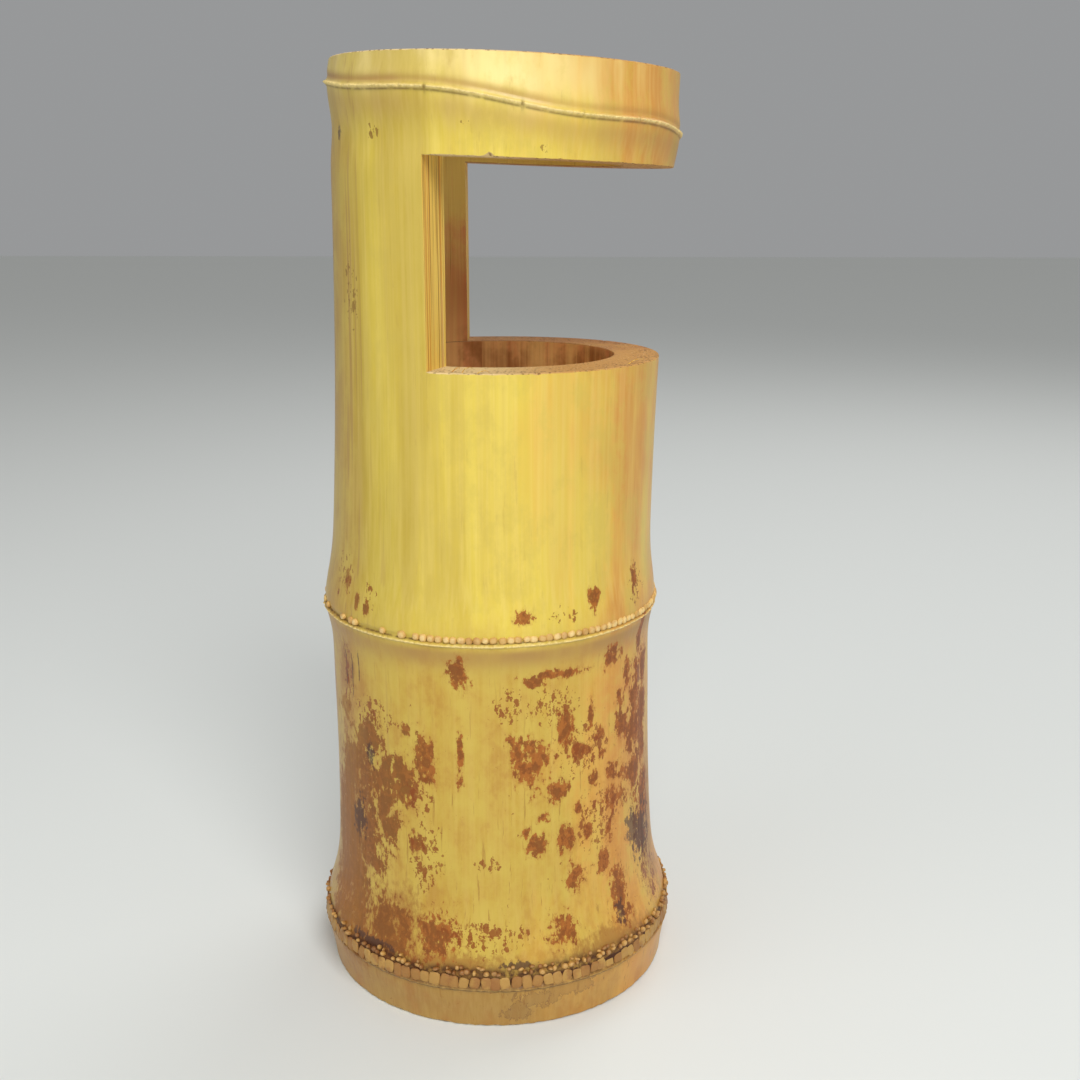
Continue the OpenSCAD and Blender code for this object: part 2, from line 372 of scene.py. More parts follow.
def new_mesh(name: str, points: Array, faces: Sequence[Sequence[int]],
             sides: Sequence[int]) -> bpy.types.Object:
    """Makes a smooth-shaded object from points in millimetres.

    Args:
        name: Name of the piece.
        points: Corner positions, n by 3, in millimetres.
        faces: Corner numbers of each face.
        sides: Material slot number of each face.

    Returns:
        The new object, linked to the scene.
    """
    mesh = bpy.data.meshes.new(name)
    mesh.from_pydata((points.reshape(-1, 3) * MM).tolist(), [], faces)
    mesh.polygons.foreach_set("material_index", np.asarray(sides, dtype=np.int32))
    mesh.polygons.foreach_set("use_smooth", np.ones(len(faces), dtype=bool))
    mesh.update()
    piece = bpy.data.objects.new(name, mesh)
    bpy.context.scene.collection.objects.link(piece)
    return piece


def face_outwards(piece: bpy.types.Object, weld: float = 0.0) -> None:
    """Welds close corners if asked, and turns every face of a closed piece outwards."""
    work = bmesh.new()
    work.from_mesh(piece.data)
    if weld > 0.0:
        bmesh.ops.remove_doubles(work, verts=work.verts, dist=weld * MM)
    bmesh.ops.recalc_face_normals(work, faces=work.faces)
    work.to_mesh(piece.data)
    work.free()


def read(items: bpy.types.bpy_prop_collection, name: str, kind: type, wide: int = 1) -> Array:
    """Values of one property of every item, as one flat array."""
    values = np.empty(len(items) * wide, dtype=kind)
    items.foreach_get(name, values)
    return values


def shade_skin(piece: bpy.types.Object, sharp_degrees: float = 34.0) -> None:
    """Gives a culm piece its sharp edges, the bark's own normals and the masks of its scars and painted
    shade.

    Args:
        piece: The piece, with its material slot numbers set.
        sharp_degrees: Least angle of an edge that is shaded sharp.
    """
    mesh = piece.data
    mesh.set_sharp_from_angle(angle=math.radians(sharp_degrees))
    corners = read(mesh.vertices, "co", float, 3).reshape(-1, 3) / MM
    z = corners[:, 2]
    angle = np.arctan2(corners[:, 1] + FORM.shift(z), corners[:, 0])
    marks = mesh.attributes.new("marks", "FLOAT_VECTOR", "POINT")
    marks.data.foreach_set("vector", FORM.marks(z, angle).astype(np.float32).ravel())
    of_loop = read(mesh.loops, "vertex_index", np.int32)
    on_bark = np.repeat(read(mesh.polygons, "material_index", np.int32) == Side.BARK.value,
                        read(mesh.polygons, "loop_total", np.int32))
    normals = np.zeros((len(mesh.loops), 3))
    normals[on_bark] = FORM.skin_normal(z, angle)[of_loop[on_bark]]
    mesh.normals_split_custom_set(normals.tolist())


@dataclass
class CulmWall:
    """A length of the culm's wall, all the way round, between two cuts, that stands for one CAD node."""

    name: str
    node: str
    low: Cut
    high: Cut
    bore: float
    columns: int = 384
    row: float = 2.4
    across: int = 10
    inner_row: float = 3.0

    def loop(self, angle: Array) -> tuple[Array, list[int]]:
        """Closed section of the wall in each direction.

        Args:
            angle: Directions, one per column.

        Returns:
            Points, columns by section by 3, and the side of each stretch of the section.
        """
        tall = self.high.height - self.low.height
        rows = max(3, round(tall / self.row))
        inner_rows = max(2, round(tall / self.inner_row))
        top, bottom = self.high.level(angle), self.low.level(angle)
        top_edge, bottom_edge = self.high.softened(angle), self.low.softened(angle)
        share = np.linspace(0.0, 1.0, rows + 1)[None, :]
        z_low, z_high = (bottom + bottom_edge)[:, None], (top - top_edge)[:, None]
        turned = angle[:, None]
        outer = FORM.skin(z_low + (z_high - z_low) * share, turned)
        sides = [Side.BARK.value] * rows

        def cap(cut: Cut, edge: Array, level: Array, above: bool) -> Array:
            """Sawn or joined face across the wall.

            Args:
                cut: Where the face lies.
                edge: Size of the worn edge in each direction.
                level: Height of the cut at the skin.
                above: Whether the face closes the piece from above.

            Returns:
                Points from the skin to the bore.
            """
            rim = FORM.radius(level, angle) - edge
            inside = self.bore + cut.eased()
            step = np.linspace(0.0, 1.0, self.across + 1)[None, :]
            radius = rim[:, None] + (inside - rim[:, None]) * step
            flat = cut.level(turned, radius)
            if cut.edge is not Edge.JOINED:
                grain = 0.05 * Ripple(83, (70, 190), 0.0)(turned + 0.01 * radius, radius)
                kerf = 0.04 * np.sin(1.9 * (radius * np.cos(turned) + 0.35 * radius * np.sin(turned)))
                open_here = FORM.in_window(turned) if cut.edge is Edge.WINDOW else 1.0
                relief = (grain + kerf - 0.1) * np.sin(np.pi * np.clip(step, 0.05, 0.95)) * open_here
                flat = flat + (relief if above else -relief)
            return FORM.place(flat, turned, radius)

        top_cap = cap(self.high, top_edge, top, True)
        bottom_cap = cap(self.low, bottom_edge, bottom, False)[:, ::-1]
        in_top = self.high.level(angle, self.bore) - self.high.eased()
        in_low = self.low.level(angle, self.bore) + self.low.eased()
        down = np.linspace(0.0, 1.0, inner_rows + 1)[None, :]
        z_in = in_top[:, None] + (in_low - in_top)[:, None] * down
        worn = 0.12 * Ripple(61, (4, 30), 0.05)(turned, z_in) * np.sin(np.pi * down)
        inner = FORM.place(z_in, turned, self.bore + worn)
        sawn = Side.SAWN_END.value
        parts = [outer, top_cap, inner, bottom_cap]
        sides += [sawn] * (self.across + 2) + [Side.INNER.value] * inner_rows + [sawn] * (self.across + 2)
        return np.concatenate(parts, axis=1), sides

    def build(self) -> bpy.types.Object:
        """Makes the closed wall."""
        angle = np.linspace(-np.pi, np.pi, self.columns, endpoint=False)
        points, sides = self.loop(angle)
        count = points.shape[1]
        column = np.arange(self.columns)[:, None]
        stretch = np.arange(count)[None, :]
        beside = (column + 1) % self.columns
        after = (stretch + 1) % count
        quads = np.stack([column * count + stretch, beside * count + stretch,
                          beside * count + after, column * count + after], axis=-1).reshape(-1, 4)
        piece = new_mesh(self.name, points, quads.tolist(), np.tile(sides, self.columns))
        face_outwards(piece, weld=0.0005)
        shade_skin(piece)
        return piece


@dataclass
class BackWall:
    """What the window leaves of the wall: an upright slab between two sawn cheeks, with a hook hole."""

    name: str = "back_slab"
    rows: int = 44
    columns: int = 150
    across: int = 12
    hole_radius: float = 6.0
    hole_z: float = 275.0
    drill_from: float = 20.0
    drill_to: float = 90.0
    drill_columns: int = 64

    def direction(self, z: Array, radius: Array, share: Array) -> Array:
        """Direction at a share of the way from the right cheek to the left one."""
        right = FORM.cheek_angle(z, radius, False)
        left = FORM.cheek_angle(z, radius, True)
        return right + (left - right) * share

    def patch(self, v: Array, u: Array, w: Array) -> Array:
        """Points of the slab, or of one of its six faces.

        Args:
            v: Shares of the way up.
            u: Shares of the way round, from the right cheek to the left one.
            w: Shares of the way from the skin to the bore.

        Returns:
            The points, with saw fibres on the cheeks.
        """
        low, high = Cut(FORM.sill_z), Cut(FORM.lintel_z, FORM.lintel_fall)
        guess = FORM.sill_z + (FORM.lintel_z - FORM.sill_z) * v
        for _ in range(3):
            angle = self.direction(guess, FORM.radius(guess, 1.5) * (1.0 - w) + FORM.cup_bore * w, u)
            bottom, top = low.level(angle), high.level(angle)
            guess = bottom + (top - bottom) * v
        skin = FORM.radius(guess, angle)
        radius = skin + (FORM.cup_bore - skin) * w
        angle = self.direction(guess, radius, u)
        fibre = 0.10 * np.sin(radius * 5.3 + 1.3 * np.sin(radius * 1.7) + 0.012 * guess)
        fibre = fibre * (np.minimum(u, 1.0 - u) < 1e-6).astype(float) * np.sin(np.pi * w)
        points = FORM.place(guess, angle, radius)
        points[..., 1] += np.abs(fibre) * 0.8
        return points

    def build(self) -> bpy.types.Object:
        """Makes the slab from its six faces, welds them and bores the hook hole."""
        v, u, w = (np.linspace(0.0, 1.0, n + 1) for n in (self.rows, self.columns, self.across))
        zero, one = np.zeros(1), np.ones(1)
        looks = ((v, u, zero, Side.BARK), (v, u, one, Side.INNER), (v, zero, w, Side.SAWN_SIDE),
                 (v, one, w, Side.SAWN_SIDE), (zero, u, w, Side.SAWN_END), (one, u, w, Side.SAWN_END))
        points, faces, sides, start = [], [], [], 0
        for v_at, u_at, w_at, side in looks:
            grid = self.patch(*np.meshgrid(v_at, u_at, w_at, indexing="ij")).squeeze()
            tall, wide = grid.shape[:2]
            i, j = np.meshgrid(np.arange(tall - 1), np.arange(wide - 1), indexing="ij")
            corner = start + i * wide + j
            quads = np.stack([corner, corner + 1, corner + wide + 1, corner + wide], axis=-1).reshape(-1, 4)
            points.append(grid.reshape(-1, 3))
            faces += quads.tolist()
            sides += [side.value] * len(quads)
            start += tall * wide
        piece = new_mesh(self.name, np.concatenate(points), faces, sides)
        face_outwards(piece, weld=0.02)
        self.bore_hook_hole(piece)
        shade_skin(piece)
        return piece

    def bore_hook_hole(self, piece: bpy.types.Object) -> None:
        """Cuts the round hole for a wall hook through the back.

        Args:
            piece: The slab, which gets the hole's faces as long grain.
        """
        reach, start, end = self.hole_radius, self.drill_from, self.drill_to
        section = [(0.0, start), (reach, start), (reach, end), (0.0, end)]
        drill = turned_shell("drill", section, columns=self.drill_columns)
        turn = np.array([[1.0, 0.0, 0.0], [0.0, 0.0, 1.0], [0.0, 1.0, 0.0]])
        corners = np.array([turn @ np.array(v.co) for v in drill.data.vertices])
        corners[:, 2] += self.hole_z * MM
        drill.data.vertices.foreach_set("co", corners.ravel())
        drill.data.update()
        face_outwards(drill)
        for _ in range(Side.SAWN_SIDE.value + 1):
            piece.data.materials.append(None)
            drill.data.materials.append(None)
        drill.data.polygons.foreach_set(
            "material_index", np.full(len(drill.data.polygons), Side.SAWN_SIDE.value, dtype=np.int32))
        cut = piece.modifiers.new("hook_hole", "BOOLEAN")
        cut.operation = "DIFFERENCE"
        cut.solver = "EXACT"
        cut.object = drill
        bake_modifiers(piece)
        bpy.data.objects.remove(drill)
        slots = read(piece.data.polygons, "material_index", np.int32)
        piece.data.materials.clear()
        piece.data.polygons.foreach_set("material_index", slots)


def bake_modifiers(piece: bpy.types.Object) -> None:
    """Replaces a piece's mesh by what its modifiers make of it, and removes them."""
    graph = bpy.context.evaluated_depsgraph_get()
    mesh = bpy.data.meshes.new_from_object(piece.evaluated_get(graph), preserve_all_data_layers=True,
                                           depsgraph=graph)
    piece.modifiers.clear()
    piece.data = mesh


def turned_shell(name: str, section: Sequence[tuple[float, float]], columns: int = 128,
                 at: Callable[[Array, Array, Array], Array] | None = None) -> bpy.types.Object:
    """Makes a closed turned piece from a section of (radius, height) in millimetres.

    Args:
        name: Name of the piece.
        section: Section points in order; radius 0 at both ends closes it on the axis, and otherwise
            the section closes on itself.
        columns: Number of directions.
        at: Turns radius, height and angle into points; without it, round the Z axis.

    Returns:
        The new object, with every face in the first material slot.
    """
    on_axis = section[0][0] == 0.0 and section[-1][0] == 0.0
    body = section[1:-1] if on_axis else section
    radius, height = (np.array(values)[None, :] for values in zip(*body))
    angle = np.linspace(0.0, 2.0 * np.pi, columns, endpoint=False)[:, None]
    put = at or (lambda r, z, a: np.stack(np.broadcast_arrays(r * np.cos(a), r * np.sin(a), z), axis=-1))
    points = put(radius, height, angle).reshape(-1, 3)
    count = len(body)
    faces = []
    for c in range(columns):
        here, there = c * count, (c + 1) % columns * count
        last = count - 1 if on_axis else count
        for k in range(last):
            n = (k + 1) % count
            faces.append((here + k, there + k, there + n, here + n))
    if on_axis:
        for end, k in ((0, 0), (-1, count - 1)):
            centre = put(np.zeros((1, 1)), np.full((1, 1), section[end][1]), np.zeros((1, 1))).reshape(1, 3)
            points = np.concatenate([points, centre])
            hub = len(points) - 1
            faces += [(c * count + k, (c + 1) % columns * count + k, hub) for c in range(columns)]
    piece = new_mesh(name, points, faces, np.zeros(len(faces), dtype=np.int32))
    face_outwards(piece)
    return piece


class NodeMaker:
    """Places nodes in a tree and joins them, with plain numbers or sockets as inputs."""

    IN_ROW, STEP, DROP = 12, 180, 220

    def __init__(self, tree: bpy.types.NodeTree) -> None:
        """Starts on an empty tree."""
        self.tree = tree
        self.placed = 0

    def feed(self, socket: Socket, value: object) -> None:
        """Joins a socket to an input, or sets a plain value on it."""
        if isinstance(value, bpy.types.NodeSocket):
            self.tree.links.new(value, socket)
        elif value is not None:
            socket.default_value = value

    def node(self, kind: str, inputs: dict[str | int, object] | None = None,
             **settings: object) -> bpy.types.Node:
        """Adds a node with its settings and inputs.

        Args:
            kind: Blender's name of the node's type.
            inputs: A plain value or a socket for each input, by its name or number.
            **settings: The node's own properties, set before its inputs.

        Returns:
            The node, placed in rows so that the tree can be read.
        """
        made = self.tree.nodes.new(kind)
        made.location = (self.STEP * (self.placed % self.IN_ROW), -self.DROP * (self.placed // self.IN_ROW))
        self.placed += 1
        for key, value in settings.items():
            setattr(made, key, value)
        for key, value in (inputs or {}).items():
            self.feed(made.inputs[key], value)
        return made

    def math(self, operation: str, *values: object, clamp: bool = False) -> Socket:
        """A sum, product or other function of one to three numbers."""
        made = self.node("ShaderNodeMath", dict(enumerate(values)), operation=operation, use_clamp=clamp)
        return made.outputs[0]

    def times(self, first: object, second: object, clamp: bool = False) -> Socket:
        """Product of two numbers."""
        return self.math("MULTIPLY", first, second, clamp=clamp)

    def plus(self, first: object, second: object, clamp: bool = False) -> Socket:
        """Sum of two numbers."""
        return self.math("ADD", first, second, clamp=clamp)

    def minus(self, first: object, second: object) -> Socket:
        """Difference of two numbers."""
        return self.math("SUBTRACT", first, second)

    def most(self, first: object, second: object) -> Socket:
        """Greater of two numbers."""
        return self.math("MAXIMUM", first, second)

    def group(self, name: str, **inputs: object) -> bpy.types.NodeOutputs:
        """Outputs of a shared shader group, with its inputs by name."""
        return self.node("ShaderNodeGroup", inputs, node_tree=bpy.data.node_groups[name]).outputs

    def vector(self, operation: str, *values: object) -> Socket:
        """A function of vectors that gives a vector."""
        made = self.node("ShaderNodeVectorMath", dict(enumerate(values)), operation=operation)
        return made.outputs["Vector"]

    def length(self, value: object) -> Socket:
        """Length of a vector."""
        return self.node("ShaderNodeVectorMath", {0: value}, operation="LENGTH").outputs["Value"]

    def combine(self, x: object = 0.0, y: object = 0.0, z: object = 0.0) -> Socket:
        """A vector from three numbers."""
        return self.node("ShaderNodeCombineXYZ", {"X": x, "Y": y, "Z": z}).outputs[0]

    def parts(self, value: object) -> tuple[Socket, Socket, Socket]:
        """The three numbers of a vector."""
        made = self.node("ShaderNodeSeparateXYZ", {0: value})
        return made.outputs[0], made.outputs[1], made.outputs[2]

    def between(self, value: object, low: object, high: object, start: object = 0.0,
                end: object = 1.0) -> Socket:
        """Maps a value from low..high to start..end, clamped and smooth."""
        return self.node("ShaderNodeMapRange",
                         {"Value": value, "From Min": low, "From Max": high, "To Min": start, "To Max": end},
                         interpolation_type="SMOOTHSTEP").outputs["Result"]

    def noise(self, vector: object, scale: object, detail: object = 3.0, rough: object = 0.55) -> Socket:
        """Noise of about 0 to 1."""
        return self.node("ShaderNodeTexNoise", {"Vector": vector, "Scale": scale, "Detail": detail,
                                                "Roughness": rough}).outputs["Fac"]

    def blend(self, share: object, first: object, second: object) -> Socket:
        """A mix of two colours."""
        made = self.node("ShaderNodeMix", data_type="RGBA", clamp_factor=True)
        self.feed(made.inputs["Factor"], share)
        colours = [socket for socket in made.inputs if socket.type == "RGBA"]
        self.feed(colours[0], first)
        self.feed(colours[1], second)
        return next(socket for socket in made.outputs if socket.type == "RGBA")


def shader_group(name: str, inputs: dict[str, str],
                 outputs: dict[str, str]) -> tuple[NodeMaker, bpy.types.NodeOutputs, bpy.types.NodeInputs]:
    """Starts a shader node group with named inputs and outputs.

    Args:
        name: Name of the group.
        inputs: Kind of socket for each input, such as Float or Vector.
        outputs: Kind of socket for each output.

    Returns:
        A maker for its nodes, its inputs as sockets to join from, and its outputs to join to.
    """
    tree = bpy.data.node_groups.new(name, "ShaderNodeTree")
    for way, sockets in (("INPUT", inputs), ("OUTPUT", outputs)):
        for label, kind in sockets.items():
            tree.interface.new_socket(label, in_out=way, socket_type=f"NodeSocket{kind}")
    make = NodeMaker(tree)
    given = make.node("NodeGroupInput").outputs
    return make, given, make.node("NodeGroupOutput").inputs


def grain_group() -> bpy.types.NodeTree:
    """Fibre grain that runs up the culm: noise drawn out along Z."""
    make, given, out = shader_group("upright_grain", {"Vector": "Vector", "Across": "Float", "Along": "Float",
                                                      "Detail": "Float"}, {"Value": "Float"})
    stretch = make.combine(given["Across"], given["Across"], given["Along"])
    drawn = make.vector("MULTIPLY", given["Vector"], stretch)
    make.feed(out["Value"], make.noise(drawn, 1.0, given["Detail"], 0.6))
    return make.tree


def patch_group() -> bpy.types.NodeTree:
    """How deep a point lies in an oval patch: 1 at its centre, 0 at its edge, below 0 outside."""
    make, given, out = shader_group("oval_patch", {"Vector": "Vector", "Centre": "Vector", "Size": "Vector"},
                                    {"Depth": "Float"})
    away = make.vector("SUBTRACT", given["Vector"], given["Centre"])
    share = make.length(make.vector("DIVIDE", away, given["Size"]))
    make.feed(out["Depth"], make.minus(1.0, share))
    return make.tree


def fleck_group() -> bpy.types.NodeTree:
    """Small ragged flecks, a little longer up the culm than across it."""
    make, given, out = shader_group("flecks", {"Vector": "Vector", "Scale": "Float", "Amount": "Float"},
                                    {"Mask": "Float"})
    warp = make.node("ShaderNodeTexNoise", {"Vector": given["Vector"], "Scale": 900.0, "Detail": 2.0})
    drift = make.vector("SUBTRACT", warp.outputs["Color"], (0.5, 0.5, 0.5))
    moved = make.vector("ADD", given["Vector"], make.vector("MULTIPLY", drift, (0.0022, 0.0022, 0.0045)))
    flat = make.vector("MULTIPLY", moved, (1.0, 1.0, 0.55))
    cells = make.node("ShaderNodeTexVoronoi", {"Vector": flat, "Scale": given["Scale"], "Randomness": 1.0})
    keep = make.parts(cells.outputs["Color"])[0]
    size = make.times(make.minus(given["Amount"], keep), 1.1)
    make.feed(out["Mask"], make.between(make.minus(size, cells.outputs["Distance"]), 0.0, 0.12))
    return make.tree


def pore_group() -> bpy.types.NodeTree:
    """Cut ends of the culm's fibre bundles: dark dots with a pale ring, closer together near the bark."""
    make, given, out = shader_group("pores", {"Vector": "Vector", "Scale": "Float", "Axis": "Vector"},
                                    {"Dot": "Float", "Outer": "Float"})
    x, y, _ = make.parts(make.vector("SUBTRACT", given["Vector"], given["Axis"]))
    reach = make.length(make.combine(x, y, 0.0))
    outer = make.between(reach, 0.043, 0.0585)
    flat = make.combine(x, y, 0.0)
    cells = make.node("ShaderNodeTexVoronoi", {"Vector": flat, "Scale": given["Scale"], "Randomness": 0.85})
    size = make.between(outer, 0.0, 1.0, start=0.20, end=0.34)
    make.feed(out["Dot"], make.between(cells.outputs["Distance"], make.plus(size, 0.1), size))
    make.feed(out["Outer"], outer)
    return make.tree


@dataclass(frozen=True)
class Patch:
    """An oval region on the skin: direction in degrees, height, half width and half height in millimetres."""

    angle: float
    height: float
    wide: float
    tall: float

    def centre(self) -> Point:
        """Centre on the bark, in metres."""
        turn, z = np.float64(math.radians(self.angle)), np.float64(self.height)
        return tuple(float(v) * MM for v in FORM.skin(z, turn))

    def size(self) -> Point:
        """Half sizes in metres."""
        return (self.wide * MM, self.wide * MM, self.tall * MM)


def ovals(*rows: tuple[float, ...]) -> tuple[Patch, ...]:
    """Patches from rows of angle, height, half width and half height."""
    return tuple(Patch(*row) for row in rows)


@dataclass(frozen=True)
class Finish:
    """Base of every finish: its name, the plain sheen all over, and its relief's depth in metres."""

    name: str
    roughness: float = 0.5
    coat: float = 0.0
    coat_roughness: float = 0.3
    metallic: float = 0.0
    specular: float = 0.5
    relief: float = 0.0001

    def make(self) -> bpy.types.Material:
        """Makes the material. Each finish has its own."""
        raise NotImplementedError


class Paint(NodeMaker):
    """A material in the making: its shader, the object coordinates and the colour laid so far."""

    def __init__(self, finish: Finish, base: Colour) -> None:
        """Starts the material.

        Args:
            finish: Gives its name and its plain sheen.
            base: The colour under every other.
        """
        self.material = bpy.data.materials.new(finish.name)
        self.material.use_nodes = True
        self.material.node_tree.nodes.clear()
        super().__init__(self.material.node_tree)
        self.shader = self.node("ShaderNodeBsdfPrincipled", {
            "Roughness": finish.roughness, "Metallic": finish.metallic, "Coat Weight": finish.coat,
            "Coat Roughness": finish.coat_roughness, "Specular IOR Level": finish.specular})
        self.node("ShaderNodeOutputMaterial", {"Surface": self.shader.outputs["BSDF"]})
        self.where = self.node("ShaderNodeTexCoord").outputs["Object"]
        self.colour: object = base
        self.relief = finish.relief

    def lay(self, mask: object, colour: object) -> None:
        """Lays a colour over what is there, as far as the mask says."""
        self.colour = self.blend(mask, self.colour, colour)

    def grain(self, across: float, along: float, detail: float = 3.0) -> Socket:
        """One layer of upright grain."""
        return self.group("upright_grain", Vector=self.where, Across=across, Along=along, Detail=detail)[0]

    def named(self, attribute: str, output: str = "Fac") -> Socket:
        """An attribute of the mesh."""
        return self.node("ShaderNodeAttribute", attribute_name=attribute).outputs[output]

    def deepest(self, patches: Sequence[Patch]) -> Socket:
        """Greatest depth of a point in any of the patches."""
        depth: Socket | None = None
        for patch in patches:
            found = self.group("oval_patch", Vector=self.where, Centre=patch.centre(),
                               Size=patch.size())["Depth"]
            depth = found if depth is None else self.most(depth, found)
        return depth

    def close(self, roughness: Socket, height: Socket) -> bpy.types.Material:
        """Feeds the shader the colour, a roughness, and a height from 0 to 1 as relief."""
        self.feed(self.shader.inputs["Base Color"], self.colour)
        self.feed(self.shader.inputs["Roughness"], roughness)
        relief = self.node("ShaderNodeBump", {"Strength": 1.0, "Distance": self.relief, "Height": height})
        self.feed(self.shader.inputs["Normal"], relief.outputs["Normal"])
        return self.material


@dataclass(frozen=True)
class BarkFinish(Finish):
    """Aged culm skin: yellow with olive and orange sides, streaks, ragged stains, flecks and scars, with
    painted shade beside the nodes and towards the +Y edge.
    """

    name: str = "aged_bamboo_bark"
    relief: float = 0.0001
    roughness: float = 0.42
    coat: float = 0.12
    coat_roughness: float = 0.22
    specular: float = 0.32
    upper: Colour = linear(226, 200, 80)
    lower: Colour = linear(196, 160, 64)
    green: Colour = linear(208, 184, 82)
    rim: Colour = linear(244, 220, 142)
    olive: Colour = linear(170, 144, 44)
    orange: Colour = linear(222, 164, 70)
    amber: Colour = linear(204, 138, 58)
    # Colour of the painted shade towards the +Y edge, below the rim.
    umber_edge_shade: Colour = linear(172, 118, 46)
    foot: Colour = linear(172, 130, 64)
    stain: Colour = linear(126, 62, 18)
    stain_pale: Colour = linear(168, 96, 34)
    aged: Colour = linear(128, 84, 30)
    wash: Colour = linear(158, 106, 42)
    deep: Colour = linear(74, 48, 38)
    fleck: Colour = linear(138, 68, 16)
    fleck_upper: Colour = linear(146, 108, 40)
    cream: Colour = linear(248, 222, 150)
    # Colour of the painted shade in the crevices.
    crevice_shade: Colour = linear(72, 36, 12)
    # Dull grey-tan for grain streaks and for the painted shade band beside the nodes.
    dull_and_shade: Colour = linear(172, 130, 72)
    smudge: Colour = linear(118, 80, 50)
    fields: tuple[Patch, ...] = ovals(
        (128, 84, 17, 15), (149, 88, 10, 12), (124, 62, 22, 26), (145, 75, 8, 12), (124, 36, 20, 18),
        (148, 32, 11, 11))
    stains: tuple[Patch, ...] = ovals(
        (160.5, 97, 5.4, 10), (138, 101, 5.4, 9), (122, 108, 7, 7), (153, 107, 3, 3), (163, 34, 9, 10),
        (140, 23, 24, 8), (133, 100, 12, 8), (156, 66, 3, 5), (173, 100, 1.9, 12), (173.5, 131, 4.4, 7),
        (197.5, 97, 7.4, 11), (206, 87, 4.4, 5), (209, 108, 3.8, 7), (191, 105, 3.4, 6), (215, 99, 5, 3.4),
        (223, 104, 3.6, 3), (219, 112, 1.9, 7), (235, 103, 6, 8), (244, 113, 6, 11), (252, 121, 5, 10),
        (240, 93, 4, 5), (231, 77, 9, 6), (244, 82, 6, 11), (199, 67, 4.4, 5), (208, 67, 4, 6),
        (217, 68, 3, 5.4), (227, 66, 3.4, 7), (194, 72, 2.4, 2.6), (200, 77, 2.6, 2.6), (207, 129, 12, 2.0),
        (198, 127, 4, 2.4), (229, 130, 5, 5), (212, 53, 4.4, 6), (224, 55, 4, 6), (206, 34, 6, 7),
        (230, 38, 6, 16), (250, 62, 10, 22), (250, 92, 6, 14), (194, 151, 3.6, 3.2), (219, 154, 3.4, 4.4),
        (240, 157, 2.6, 6), (127, 156, 2.6, 4), (134, 151, 1.4, 4), (139, 148.5, 1.6, 3), (298, 88, 12, 26),
        (322, 60, 9, 14), (351, 104, 6, 16), (18, 74, 12, 22), (38, 40, 15, 12), (63, 100, 7, 14),
        (82, 55, 14, 26), (100, 112, 6, 9), (124, 112, 1.6, 9), (247, 135, 3, 9), (238, 122, 2.6, 8),
        (221, 88, 3, 4), (213, 78, 2.4, 3), (243, 98, 7, 9), (250, 104, 6, 14), (229, 88, 5, 4),
        (240, 84, 11, 6), (224, 96, 3, 3), (233, 114, 3, 5))
    specks: tuple[Patch, ...] = ovals(
        (124, 158, 9, 15), (139, 154, 7, 7), (216, 100, 16, 14), (181, 61, 8, 4), (241, 152, 12, 10),
        (208, 150, 8, 5), (190, 119, 8, 9), (140, 110, 16, 9), (124, 122, 6, 22), (139, 305, 4, 4),
        (196, 299, 6, 3), (172, 307, 3, 2), (126, 255, 7, 22), (250, 112, 9, 26), (330, 90, 26, 40),
        (20, 105, 24, 30), (70, 75, 28, 40), (40, 160, 12, 10), (290, 158, 10, 12), (222, 72, 14, 16),
        (252, 40, 12, 20), (158, 84, 7, 12), (204, 118, 14, 10), (160, 60, 9, 22), (180, 34, 22, 8))
    washes: tuple[Patch, ...] = ovals(
        (122, 62, 22, 44), (128, 30, 28, 24), (257, 56, 13, 46), (222, 25, 26, 7), (168, 24, 30, 6),
        (330, 60, 30, 50), (50, 50, 34, 40), (150, 33, 18, 18), (122, 122, 8, 14))
    smudges: tuple[Patch, ...] = ovals(
        (196, 10.5, 9, 4.2), (207, 13.5, 12, 3.2), (190, 6.5, 5, 3), (318, 9, 12, 4))
    # Dark spots; the one at 179.3 degrees and 296.2 mm is painted shade in the chip at the lintel's edge.
    darks_and_notch_shade: tuple[Patch, ...] = ovals(
        (249, 56, 13, 15), (240, 61, 5, 9), (179.3, 296.2, 2.0, 1.2), (123, 124, 0.6, 14),
        (127.5, 121, 0.4, 12), (132, 126, 0.5, 9), (129, 68, 5, 12), (137, 94, 3, 7), (229, 33, 3.4, 9),
        (117, 305, 2, 4), (190, 24.5, 8, 2), (140, 24.5, 14, 2.4), (30, 62, 5, 12))

